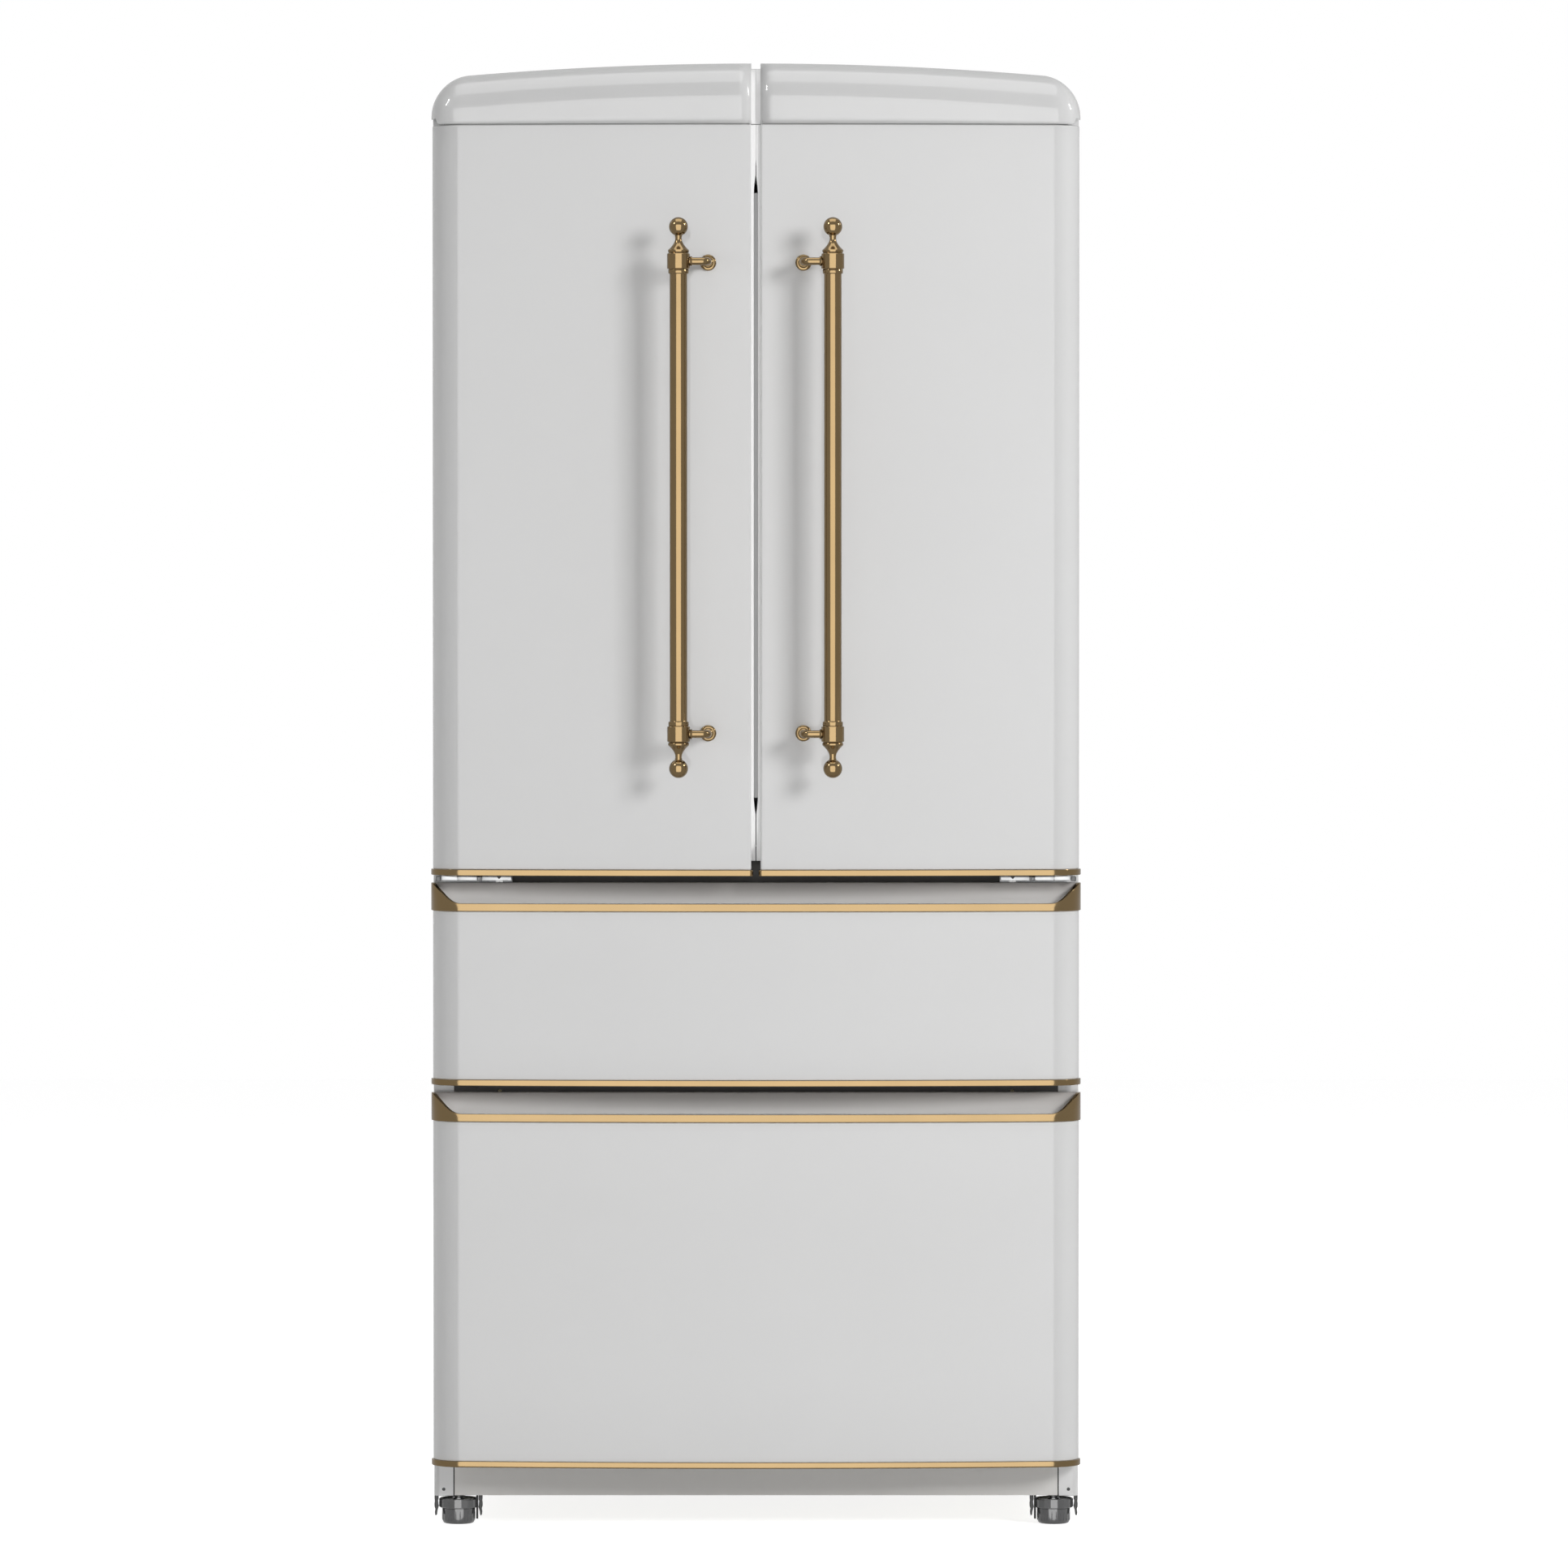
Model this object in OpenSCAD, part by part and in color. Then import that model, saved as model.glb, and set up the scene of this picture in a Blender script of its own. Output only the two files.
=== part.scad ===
// French door refrigerator: two arched-crown doors over two full-width drawers.
// The origin is on the floor under the middle of the overall box; the doors face -Y.

/* [Body] */
// width of the cabinet, the doors and the drawers
body_w = 800; // [760:1:900]
// height of the top of the crown above the floor
body_h = 1810.6; // [1700:0.1:1900]
// overall depth, from the handle collars to the rear cover
body_d = 740; // [700:1:780]
// thickness of the doors and the drawer fronts
door_t = 65; // [50:1:80]
// distance from the door front to the cabinet face
face_gap = 78; // [70:1:90]
// radius of the gentle bow of the fronts, seen from above
bow_r = 3710; // [2500:10:6000]
// radius of the outer corners of the fronts, seen from above
corner_r = 40; // [10:1:45]
// gap between the two doors
door_gap = 11.5; // [8:0.5:16]

/* [Crown] */
// height of the seam under the crown
seam_z = 1733.5; // [1700:0.5:1760]
// radius of the arched top, seen from the front
arch_r = 4500; // [3000:10:8000]
// radius where the arch meets the sides
arch_corner_r = 46; // [20:1:60]
// radius of the rounded front edge of the crown
crown_fillet = 50; // [20:1:60]
// overhang of the crown past the doors
crown_over = 1.3; // [0:0.1:3]

/* [Doors and drawers] */
// underside of the doors
door_z = 808; // [780:1:830]
// height of the brass trim along the lower edges
trim_h = 7.4; // [5:0.1:12]
// how far the brass stands proud of the fronts
trim_out = 2.3; // [1:0.1:4]
// underside of the upper drawer
upper_z = 548.4; // [500:0.1:600]
// lip of the upper drawer's grip
upper_lip = 773.7; // [740:0.1:790]
// underside of the lower drawer
lower_z = 76.4; // [60:0.1:100]
// lip of the lower drawer's grip
lower_lip = 513.7; // [480:0.1:530]
// height of the brass trim along the lip
lip_trim_h = 9.6; // [6:0.1:15]
// rise from the lip to the top of the drawer corners
corner_rise = 24.6; // [15:0.1:35]
// thickness of the painted sheet
skin = 1.2; // [0.8:0.1:2]

/* [Handles] */
// distance of a handle bar from the middle of the front
bar_x = 94.5; // [70:0.5:140]
// distance of the bar's axis in front of the door
bar_off = 55; // [40:1:70]
// diameter of the bar
bar_d = 21.5; // [14:0.5:26]
// diameter of the arms that carry the bar
arm_d = 9.4; // [6:0.1:12]
// middle height of the handle
bar_z = 1273.7; // [1200:0.1:1350]
// distance from the middle of the handle to a collar
collar_off = 289.5; // [200:0.5:330]
// distance from the middle of the handle to a ball finial
ball_off = 331.8; // [250:0.1:380]
// diameter of the ball finials
ball_d = 23.3; // [16:0.1:30]
// distance of the rosettes from the middle of the front
rosette_x = 58.7; // [40:0.1:80]

/* [Hinges and feet] */
// distance of the hinge axis from the middle
hinge_x = 372; // [350:1:385]
// distance of the hinge axis behind the door front
hinge_in = 33; // [25:1:45]
// diameter of the hinge pins
pin_d = 8; // [6:0.5:12]
// clearance round a turning pin
play = 0.05; // [0.02:0.01:0.1]
// distance of the feet from the middle
foot_x = 370; // [300:1:380]
// distance of the feet behind the door front
foot_in = 88; // [60:1:120]
// underside of the base frame
base_z = 35; // [25:1:50]
// radius of the rear rollers
roller_r = 20; // [15:1:25]

/* [Hidden] */
half_w = body_w / 2;
handle_reach = bar_off + 14;
front_y = handle_reach - body_d / 2;
door_y = front_y + door_t;
face_y = front_y + face_gap;
back_y = body_d / 2 - 2;
half_gap = door_gap / 2;
corner_cx = half_w - corner_r;
corner_y = front_y + bow_r - sqrt(pow(bow_r - corner_r, 2) - pow(corner_cx, 2));
hinge_y = front_y + hinge_in;
bar_y = front_y - bar_off;
bore_d = pin_d + 2 * play;
panel_z = door_z + trim_h;
wall_z = 78;
in_x = 350;
fridge_z0 = 842;
fridge_z1 = 1688;
pantry_z0 = 580;
pantry_z1 = 770;
freezer_z0 = 110;
freezer_z1 = 513;
step_y = 112;
step_z = 298;
rear_y = back_y - 50;
foot_y = front_y + foot_in;
roller_x = 330;
roller_y = 300;
pivot_x = -20;
mullion_z0 = 906;
mullion_z1 = 1642;
pivot_y = face_y + 6;
rail_upper_z = 700;
rail_lower_z = 360;
rail_y0 = face_y + 18;
rail_y1 = 250;
fan_y = 255;
fan_z = 165;
brass = [0.72, 0.6, 0.42];
white = [0.88, 0.88, 0.88];
steel = [0.7, 0.71, 0.72];
dark = [0.2, 0.2, 0.21];

// ---- helpers ----

module box(x0, x1, y0, y1, z0, z1) {
    translate([x0, y0, z0]) cube([x1 - x0, y1 - y0, z1 - z0]);
}

module both() {
    children();
    mirror([1, 0, 0]) children();
}

// Outline of a front seen from above, from the bowed face back to y = back.
module plan(inset, back) {
    tangent_x = corner_cx * (bow_r - inset) / (bow_r - corner_r);
    intersection() {
        translate([0, front_y + bow_r]) circle(r = bow_r - inset, $fn = 256);
        translate([-tangent_x, front_y - 10]) square([2 * tangent_x, back - front_y + 10]);
    }
    r = corner_r - inset;
    for (s = [-1, 1]) intersection() {
        translate([s * corner_cx, corner_y]) circle(r = r, $fn = 64);
        translate([s * corner_cx - r, corner_y - r]) square([2 * r, r]);
    }
    translate([inset - half_w, corner_y]) square([2 * (half_w - inset), back - corner_y]);
}

module slab(inset, back, z0, z1) {
    translate([0, 0, z0]) linear_extrude(height = z1 - z0) plan(inset, back);
}

// The half of a front that belongs to the right door.
module right_slab(inset, back, z0, z1, edge) {
    intersection() {
        slab(inset, back, z0, z1);
        box(edge, half_w + 10, front_y - 20, back + 20, z0 - 1, z1 + 1);
    }
}

// Outline of the arched top seen from the front, above z = low.
module arch(half, top, low, radius, corner) {
    arch_cz = top - radius;
    cx = half - corner;
    cz = arch_cz + sqrt(pow(radius - corner, 2) - pow(cx, 2));
    tx = cx * radius / (radius - corner);
    intersection() {
        translate([0, arch_cz]) circle(r = radius, $fn = 256);
        translate([-tx, low]) square([2 * tx, top - low + 1]);
    }
    for (s = [-1, 1]) intersection() {
        translate([s * cx, cz]) circle(r = corner, $fn = 64);
        translate([s * cx - corner, cz]) square([2 * corner, corner]);
    }
    translate([-half, low]) square([2 * half, cz - low]);
}

module arch_body(half, top, low, radius, corner, y0, y1) {
    translate([0, y1, 0]) rotate([90, 0, 0]) linear_extrude(height = y1 - y0)
        arch(half, top, low, radius, corner);
}

module upright(x, y, z0, z1, d) {
    translate([x, y, z0]) cylinder(h = z1 - z0, d = d, $fn = 48);
}

module along_y(x, y0, y1, z, d) {
    translate([x, y1, z]) rotate([90, 0, 0]) cylinder(h = y1 - y0, d = d, $fn = 48);
}

module along_x(x0, x1, y, z, d) {
    translate([x0, y, z]) rotate([0, 90, 0]) cylinder(h = x1 - x0, d = d, $fn = 48);
}

// A rectangular ring standing in the XZ plane.
module ring(x0, x1, z0, z1, y0, y1, width) {
    difference() {
        box(x0, x1, y0, y1, z0, z1);
        box(x0 + width, x1 - width, y0 - 1, y1 + 1, z0 + width, z1 - width);
    }
}

// ---- cabinet ----

module cabinet_shell() {
    color(white) difference() {
        box(-half_w, half_w, face_y, back_y - 1.5, wall_z, seam_z - 0.5);
        box(-half_w + skin, half_w - skin, face_y + skin, back_y, wall_z - 1, seam_z - 0.5 - skin);
        box(-in_x - 0.2, in_x + 0.2, face_y - 1, face_y + 2, wall_z - 1, fridge_z1 + 0.2);
    }
}

module top_cap() {
    low = seam_z - 0.5;
    top = body_h - 5;
    color(white) difference() {
        arch_body(half_w, top, low, arch_r, arch_corner_r, face_y + 1, back_y - 1.5);
        arch_body(half_w - 3, top - 3, low - 1, arch_r - 3, arch_corner_r - 3, face_y + 4, back_y - 4.5);
        both() box(300, 362, face_y, face_y + 5, low - 1, seam_z + 8.5);
    }
}

module insulation() {
    y0 = face_y + skin + 0.2;
    y1 = back_y - 1.8;
    edge = half_w - skin - 0.2;
    color([0.93, 0.89, 0.72]) {
        both() box(in_x + 0.2, edge, y0, y1, wall_z + 1, seam_z - 2);
        box(-in_x, in_x, y0, y1, fridge_z1 + 0.2, seam_z - 2);
        box(-in_x, in_x, y0, rear_y, pantry_z1 + 0.2, fridge_z0 - 0.2);
        box(-in_x, in_x, y0, rear_y, freezer_z1 + 0.2, pantry_z0 - 0.2);
        box(-in_x, in_x, y0, step_y, wall_z + 1, freezer_z0 - 0.2);
        box(-in_x, in_x, step_y + 0.2, step_y + 28, wall_z + 1, step_z - 0.2);
        box(-in_x, in_x, step_y + 28.2, y1, step_z - 28, step_z - 0.2);
        box(-in_x, in_x, rear_y + 0.2, y1, step_z, fridge_z1);
    }
}

module liner_tub(z0, z1) {
    difference() {
        box(-in_x, in_x, face_y, rear_y, z0, z1);
        box(2 - in_x, in_x - 2, face_y - 1, rear_y - 2, z0 + 2, z1 - 2);
    }
}

module fridge_liner() {
    color(white) liner_tub(fridge_z0, fridge_z1);
}

module pantry_liner() {
    color(white) liner_tub(pantry_z0, pantry_z1);
}

module freezer_liner() {
    color(white) difference() {
        union() {
            box(-in_x, in_x, face_y, step_y, freezer_z0, freezer_z1);
            box(-in_x, in_x, step_y - 2, rear_y, step_z, freezer_z1);
        }
        box(2 - in_x, in_x - 2, face_y - 1, step_y - 2, freezer_z0 + 2, freezer_z1 - 2);
        box(2 - in_x, in_x - 2, step_y - 3, rear_y - 2, step_z + 2, freezer_z1 - 2);
    }
}

module cross_rail(z0, z1) {
    difference() {
        box(-in_x, in_x, face_y, face_y + skin, z0, z1);
        both() along_y(318, face_y - 1, face_y + 3, (z0 + z1) / 2 - 8, 4.4);
    }
}

module front_rails() {
    color(dark) {
        cross_rail(pantry_z1 + 0.2, fridge_z0 - 0.2);
        cross_rail(freezer_z1 + 0.2, pantry_z0 - 0.2);
        cross_rail(wall_z + 0.2, freezer_z0 - 0.2);
    }
}

module rear_panel() {
    color(steel) difference() {
        union() {
            box(-half_w + 2, half_w - 2, back_y - 1.5, back_y, step_z - 28, seam_z - 2);
            both() box(half_w - 13.8, half_w - 2, back_y - 1.5, back_y, wall_z + 1, step_z - 27);
        }
        for (x = [-390, 390], z = [300:280:1700]) {
            along_y(x, back_y - 3, back_y + 1, z, 4);
        }
    }
}

module base_frame() {
    color(dark) {
        both() {
            difference() {
                union() {
                    box(376, half_w - 8, face_y - 5, back_y - 3, base_z, wall_z);
                    box(376, half_w, face_y + 3, back_y - 3, base_z, wall_z);
                    upright(half_w - 8, face_y + 3, base_z, wall_z, 16);
                }
                box(379, half_w - 3, face_y + 12, back_y - 8, base_z - 1, wall_z - 3);
                upright(foot_x, foot_y, base_z - 1, wall_z + 1, 28);
            }
            difference() {
                union() {
                    upright(foot_x, foot_y, base_z, wall_z - 6, 26);
                    box(339, 398, foot_y - 8, foot_y + 12, base_z, base_z + 6);
                }
                upright(foot_x, foot_y, base_z - 1, wall_z, 10 + 2 * play);
            }
            box(396, 399.5, foot_y - 8, foot_y + 4, 10, base_z + 1);
            box(340.5, 344, foot_y - 8, foot_y + 4, 10, base_z + 1);
            for (x = [roller_x - 16, roller_x + 14]) {
                difference() {
                    box(x, x + 2, roller_y - 16, roller_y + 16, 10, wall_z - 2.2);
                    along_x(x - 1, x + 3, roller_y, roller_r, 7);
                }
            }
            along_x(roller_x - 17, roller_x + 17, roller_y, roller_r, pin_d);
        }
        box(-336, 336, face_y + 2, face_y + 5, base_z + 2, wall_z);
        box(-375.8, 375.8, step_y + 28, back_y - 3, wall_z - 2, wall_z);
    }
}

module kick_plate() {
    color(white) {
        box(-374.5, 374.5, face_y - 6, face_y - 4, base_z + 1, lower_z - 0.6);
        box(-334, 334, face_y - 6, face_y + 1.8, base_z + 1, base_z + 3);
    }
}

module machine_cover() {
    color(steel) difference() {
        box(-half_w + 14, half_w - 14, back_y, back_y + 2, wall_z - 20, step_z + 6);
        for (x = [-240:60:300], z = [110:24:254]) {
            box(x - 22, x + 22, back_y - 1, back_y + 3, z, z + 8);
        }
        box(-345, -305, back_y - 1, back_y + 3, 150, 182);
    }
}

module compressor() {
    color(dark) {
        translate([-190, fan_y, 95]) cylinder(h = 95, d = 150, $fn = 64);
        translate([-190, fan_y, 190]) cylinder(h = 30, d1 = 150, d2 = 96, $fn = 64);
        translate([-190, fan_y, 87]) cylinder(h = 8, d1 = 120, d2 = 150, $fn = 64);
        box(-280, -100, fan_y - 70, fan_y + 70, 84, 87.5);
        for (x = [-270, -110], y = [fan_y - 60, fan_y + 60]) {
            upright(x, y, wall_z, 84, 20);
        }
        along_x(-90, -60, fan_y, 150, 8);
    }
}

module condenser() {
    color(dark) {
        for (x = [78, 196, 316]) {
            box(x, x + 2, 165, 345, wall_z, 246);
        }
        for (y = [180:30:330], z = [96:28:236]) {
            along_x(70, 326, y, z, 6);
        }
        for (y = [180:30:330], z = [96, 152, 208]) {
            box(324, 330, y - 2.5, y + 2.5, z - 2.5, z + 30.5);
            box(66, 72, y - 2.5, y + 2.5, z - 2.5, z + 2.5);
        }
    }
}

module fan_motor() {
    color(steel) {
        along_x(-14, 18, fan_y, fan_z, 44);
        along_x(18, 50, fan_y, fan_z, 5);
        box(-10, 12, fan_y - 9, fan_y + 9, wall_z + 3, fan_z);
        box(-18, 20, fan_y - 26, fan_y + 26, wall_z, wall_z + 3);
    }
}

module fan() {
    color(white) difference() {
        union() {
            along_x(26, 46, fan_y, fan_z, 30);
            for (a = [0:72:288]) {
                translate([36, fan_y, fan_z]) rotate([a, 0, 0]) translate([0, 0, 38])
                    rotate([0, 0, 32]) cube([1.8, 34, 54], center = true);
            }
        }
        along_x(25, 47, fan_y, fan_z, 5 + 2 * play);
    }
}

module hinge_arm(length, z0, z1) {
    translate([hinge_x, hinge_y, z0]) rotate([0, 0, 135]) translate([0, -5.5, 0])
        cube([length, 11, z1 - z0]);
    upright(hinge_x, hinge_y, z0, z1, 15);
}

module top_hinges() {
    base = seam_z - 0.5;
    color(steel) both() difference() {
        union() {
            box(288, 330, face_y + 5.5, face_y + 100, base, base + 3);
            hinge_arm(90, base + 2, base + 6);
            upright(hinge_x, hinge_y, base - 16, base + 4, pin_d);
        }
        for (y = [face_y + 40, face_y + 85]) {
            upright(300, y, base - 1, base + 4, 5.4);
        }
    }
}

module middle_hinges() {
    z = door_z - 5.5;
    color(steel) both() difference() {
        union() {
            box(302, 386, face_y - 3, face_y, 792, z + 4);
            box(302, 386, hinge_y, face_y - 2, z, z + 4);
            box(302, hinge_x, hinge_y - 9, hinge_y, z, z + 4);
            upright(hinge_x, hinge_y, z, z + 4, 18);
            upright(hinge_x, hinge_y, z + 3, panel_z - 0.2, 14);
            upright(hinge_x, hinge_y, z + 3, panel_z + 16, pin_d);
        }
        along_y(318, face_y - 4, face_y + 1, 798, 4.4);
    }
}

module screws() {
    base = seam_z - 0.5;
    color(steel) both() {
        for (y = [face_y + 40, face_y + 85]) {
            upright(300, y, base, base + 3, 5.4);
            upright(300, y, base + 3, base + 6, 10);
        }
        along_y(318, face_y - 3, face_y + skin + 0.1, 798, 4.4);
        along_y(318, face_y - 5.5, face_y - 3, 798, 9);
    }
}

module shelf_frames() {
    color(white) {
        for (z = [1170, 1420]) {
            difference() {
                box(-346, 346, -95, 290, z, z + 14);
                box(-334, 334, -83, 278, z - 1, z + 15);
                box(-340, 340, -89, 284, z + 8, z + 12.2);
            }
        }
        difference() {
            box(-346, 346, -95, 290, 1030, 1050);
            box(-334, 334, -83, 278, 1029, 1051);
            box(-340, 340, -89, 284, 1044, 1048.2);
        }
        box(-3, 3, -80, 276, fridge_z0 + 2, 1030);
    }
}

module shelf_glass() {
    color([0.8, 0.9, 0.9, 0.4]) {
        for (z = [1044, 1178, 1428]) {
            box(-339.8, 339.8, -88.8, 283.8, z, z + 4);
        }
    }
}

module tub(x0, x1, y0, y1, z0, z1, t) {
    difference() {
        box(x0, x1, y0, y1, z0, z1);
        box(x0 + t, x1 - t, y0 + t, y1 - t, z0 + t, z1 + 1);
    }
}

module crispers() {
    color([0.85, 0.9, 0.92]) both() tub(8, 342, -92, 270, fridge_z0 + 4, 1020, 3);
}

module light() {
    color(white) {
        box(-120, 120, 40, 90, fridge_z1 - 12, fridge_z1 - 2);
        box(-112, 112, 46, 84, fridge_z1 - 15, fridge_z1 - 12);
    }
}

module mullion_guide() {
    color(white) difference() {
        box(-46, 18, face_y + 24, face_y + 60, fridge_z1 - 24, fridge_z1 - 2);
        translate([-20, face_y + 24, fridge_z1 - 25]) cylinder(h = 14, r = 16, $fn = 48);
    }
}

module rail_channel(z) {
    box(345, in_x - 2, rail_y0, rail_y1, z - 20, z + 20);
    box(337, 345, rail_y0, rail_y1, z + 17, z + 20);
    box(337, 345, rail_y0, rail_y1, z - 20, z - 17);
}

module outer_rails() {
    color(steel) both() {
        rail_channel(rail_upper_z);
        rail_channel(rail_lower_z);
    }
}

module power_inlet() {
    color(dark) difference() {
        union() {
            box(-345, -305, back_y - 14, back_y + 2, 150, 182);
            along_y(-325, back_y - 22, back_y - 14, 166, 18);
        }
        box(-337, -313, back_y - 10, back_y + 3, 157, 175);
    }
}

// ---- doors ----

// Strip along the inner edge of a door that half covers the gap in front of the mullion.
module edge_strip() {
    translate([0, front_y + 12, 0]) rotate([90, 0, 0]) linear_extrude(height = 4) polygon([
        [half_gap + 1, panel_z], [0.5, panel_z], [0.5, 885], [2.6, 900], [2.6, 1654], [0.5, 1669],
        [0.5, seam_z], [half_gap + 1, seam_z]
    ]);
}

module door_panel() {
    color(white) difference() {
        union() {
            edge_strip();
            difference() {
                right_slab(0, door_y, panel_z, seam_z, half_gap);
                right_slab(skin, door_y + 5, panel_z + skin, seam_z - skin, half_gap + skin);
            }
            upright(hinge_x, hinge_y, panel_z, panel_z + 24, 22);
            upright(hinge_x, hinge_y, seam_z - 24, seam_z, 22);
        }
        upright(hinge_x, hinge_y, panel_z - 1, panel_z + 18, bore_d);
        upright(hinge_x, hinge_y, seam_z - 18.5, seam_z + 1, bore_d);
    }
}

module door_pan() {
    box(half_gap + skin + 0.3, half_w - skin - 0.3, door_y - 2.5, door_y - 0.2, panel_z + skin + 0.3,
        seam_z - skin - 0.3);
    for (x = [36, 335]) {
        box(x, x + 3, door_y, door_y + 60, 875.2, 1656.8);
    }
    for (z = [872, 1657]) {
        box(36, 338, door_y, door_y + 60, z, z + 3);
    }
    for (z = [895, 1155, 1415]) {
        box(38, 42.4, door_y + 20, door_y + 50, z, z + 4.8);
        box(331.6, 336, door_y + 20, door_y + 50, z, z + 4.8);
    }
}

module left_inner_pan() {
    color(white) {
        mirror([1, 0, 0]) door_pan();
        for (z = [mullion_z0 - 6.2, mullion_z1 + 0.2]) {
            box(-37, pivot_x, pivot_y - 4, pivot_y + 4, z, z + 6);
            upright(pivot_x, pivot_y, z, z + 6, 8);
        }
        upright(pivot_x, pivot_y, mullion_z0 - 1, mullion_z0 + 16, 4);
        upright(pivot_x, pivot_y, mullion_z1 - 16, mullion_z1 + 1, 4);
    }
}

module right_inner_pan() {
    color(white) door_pan();
}

module mullion() {
    color([0.62, 0.62, 0.62]) difference() {
        union() {
            box(pivot_x, -2, face_y + 1, face_y + 13, mullion_z0, mullion_z1);
            upright(pivot_x, pivot_y, mullion_z0, mullion_z1, 9);
        }
        upright(pivot_x, pivot_y, mullion_z0 - 1, mullion_z0 + 17, 4 + 2 * play);
        upright(pivot_x, pivot_y, mullion_z1 - 17, mullion_z1 + 1, 4 + 2 * play);
    }
}

// Rounded block that the crown is cut from: its front edge follows the bow and the arch.
module crown_block() {
    lift = 4;
    translate([0, front_y - crown_over - lift, body_h + lift]) rotate([0, 2.3, 2.8])
        rotate([90, 0, 90]) translate([0, 0, -30]) linear_extrude(height = 480) polygon(concat(
            [[140, 0], [140, -120], [0, -120]],
            [for (a = [0:9:90]) [crown_fillet * (1 - cos(a)), crown_fillet * (sin(a) - 1)]]
        ));
}

// Outline of the crown seen from the front, as short straight steps.
module crown_outline(half) {
    cx = half - arch_corner_r;
    cz = body_h - arch_r + sqrt(pow(arch_r - arch_corner_r, 2) - pow(cx, 2));
    lean = asin(cx / (arch_r - arch_corner_r));
    polygon(concat(
        [[0, seam_z], [0, body_h]],
        [for (i = [1:12]) [arch_r * sin(lean * i / 12), body_h - arch_r * (1 - cos(lean * i / 12))]],
        [for (i = [1:9]) let (a = lean + (90 - lean) * i / 9) [cx + arch_corner_r * sin(a), cz + arch_corner_r * cos(a)]],
        [[half, seam_z]]
    ));
}

module door_crown() {
    color(white) difference() {
        union() {
            intersection() {
                right_slab(-crown_over, door_y, seam_z + 1.7, body_h + 1, half_gap - 1.2);
                translate([0, door_y + 5, 0]) rotate([90, 0, 0]) linear_extrude(height = 90)
                    crown_outline(half_w + crown_over);
                crown_block();
            }
            right_slab(2.5, door_y, seam_z, seam_z + 2, half_gap + 1);
            box(0.5, half_gap, front_y + 8, front_y + 12, seam_z + 0.3, body_h - 24);
        }
        right_slab(4, door_y - 3, seam_z - 1, seam_z + 9, half_gap + 4);
        box(half_gap + 4, 340, front_y + 36, door_y - 3, seam_z, seam_z + 48);
        box(314, half_w + 5, hinge_y + 2, door_y + 1, seam_z - 1, seam_z + 8);
    }
}

module door_trim() {
    color(brass) difference() {
        right_slab(-trim_out, door_y - 4, door_z, panel_z, half_gap);
        right_slab(1.2, door_y + 5, door_z - 1, panel_z + 1, half_gap + 2.2);
    }
}

module door_gasket() {
    color([0.8, 0.8, 0.8]) difference() {
        ring(8, 370, 820, 1710, door_y, face_y - 0.3, 18);
        ring(13, 365, 825, 1705, door_y + 4, door_y + 8, 8);
    }
}

module handle_end() {
    neck_d = 8.6;
    cylinder(h = 19, d = 28, center = true, $fn = 64);
    translate([0, 0, -15]) cylinder(h = 29, d = 25, $fn = 64);
    translate([0, 0, 14]) cylinder(h = 13, d1 = 25.8, d2 = neck_d, $fn = 64);
    translate([0, 0, 26]) cylinder(h = ball_off - collar_off - 26, d = neck_d, $fn = 48);
    translate([0, 0, ball_off - collar_off]) sphere(d = ball_d, $fn = 64);
}

module handle_bar() {
    color(brass) difference() {
        translate([bar_x, bar_y, bar_z]) {
            cylinder(h = 2 * collar_off, d = bar_d, center = true, $fn = 64);
            translate([0, 0, collar_off]) handle_end();
            mirror([0, 0, 1]) translate([0, 0, collar_off]) handle_end();
        }
        for (s = [-1, 1]) {
            along_x(bar_x - 15, bar_x - 5, bar_y, bar_z + s * collar_off, arm_d);
        }
    }
}

module handle_posts() {
    bend = 9;
    color(brass) for (s = [-1, 1]) {
        translate([0, 0, bar_z + s * collar_off]) {
            along_x(rosette_x + bend, bar_x - 5, bar_y, 0, arm_d);
            translate([rosette_x + bend, bar_y + bend, 0])
                rotate_extrude(angle = 90, start = 180, $fn = 64) translate([bend, 0]) circle(d = arm_d, $fn = 40);
            along_y(rosette_x, bar_y + bend, front_y - 3, 0, arm_d);
            along_y(rosette_x, front_y - 4, front_y + 0.3, 0, 20);
            along_y(rosette_x, front_y - 7, front_y - 4, 0, 13);
        }
    }
}

module door_bins() {
    color([0.9, 0.92, 0.93]) for (z = [900, 1160, 1420]) {
        box(39.3, 334.7, door_y + 0.2, door_y + 106, z, z + 2.5);
        box(39.3, 334.7, door_y + 103.5, door_y + 106, z + 2.6, z + 90);
        for (x = [39.3, 332.2]) {
            box(x, x + 2.5, door_y + 0.2, door_y + 103.4, z + 2.6, z + 90);
        }
    }
}

module left_panel() {
    mirror([1, 0, 0]) door_panel();
}

module left_crown() {
    mirror([1, 0, 0]) door_crown();
}

module left_trim() {
    mirror([1, 0, 0]) door_trim();
}

// The left gasket also carries the grey lip that is seen between the doors.
module left_gasket() {
    mirror([1, 0, 0]) door_gasket();
    color([0.6, 0.6, 0.6]) box(-half_gap, 2.4, hinge_y - 5, hinge_y - 2, 904, 1650);
}

module left_bar() {
    mirror([1, 0, 0]) handle_bar();
}

module left_posts() {
    mirror([1, 0, 0]) handle_posts();
}

module left_bins() {
    mirror([1, 0, 0]) door_bins();
}

module right_panel() {
    door_panel();
}

module right_crown() {
    door_crown();
}

module right_trim() {
    door_trim();
}

module right_gasket() {
    door_gasket();
}

module right_bar() {
    handle_bar();
}

module right_posts() {
    handle_posts();
}

module right_bins() {
    door_bins();
}

// ---- drawers ----

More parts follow.
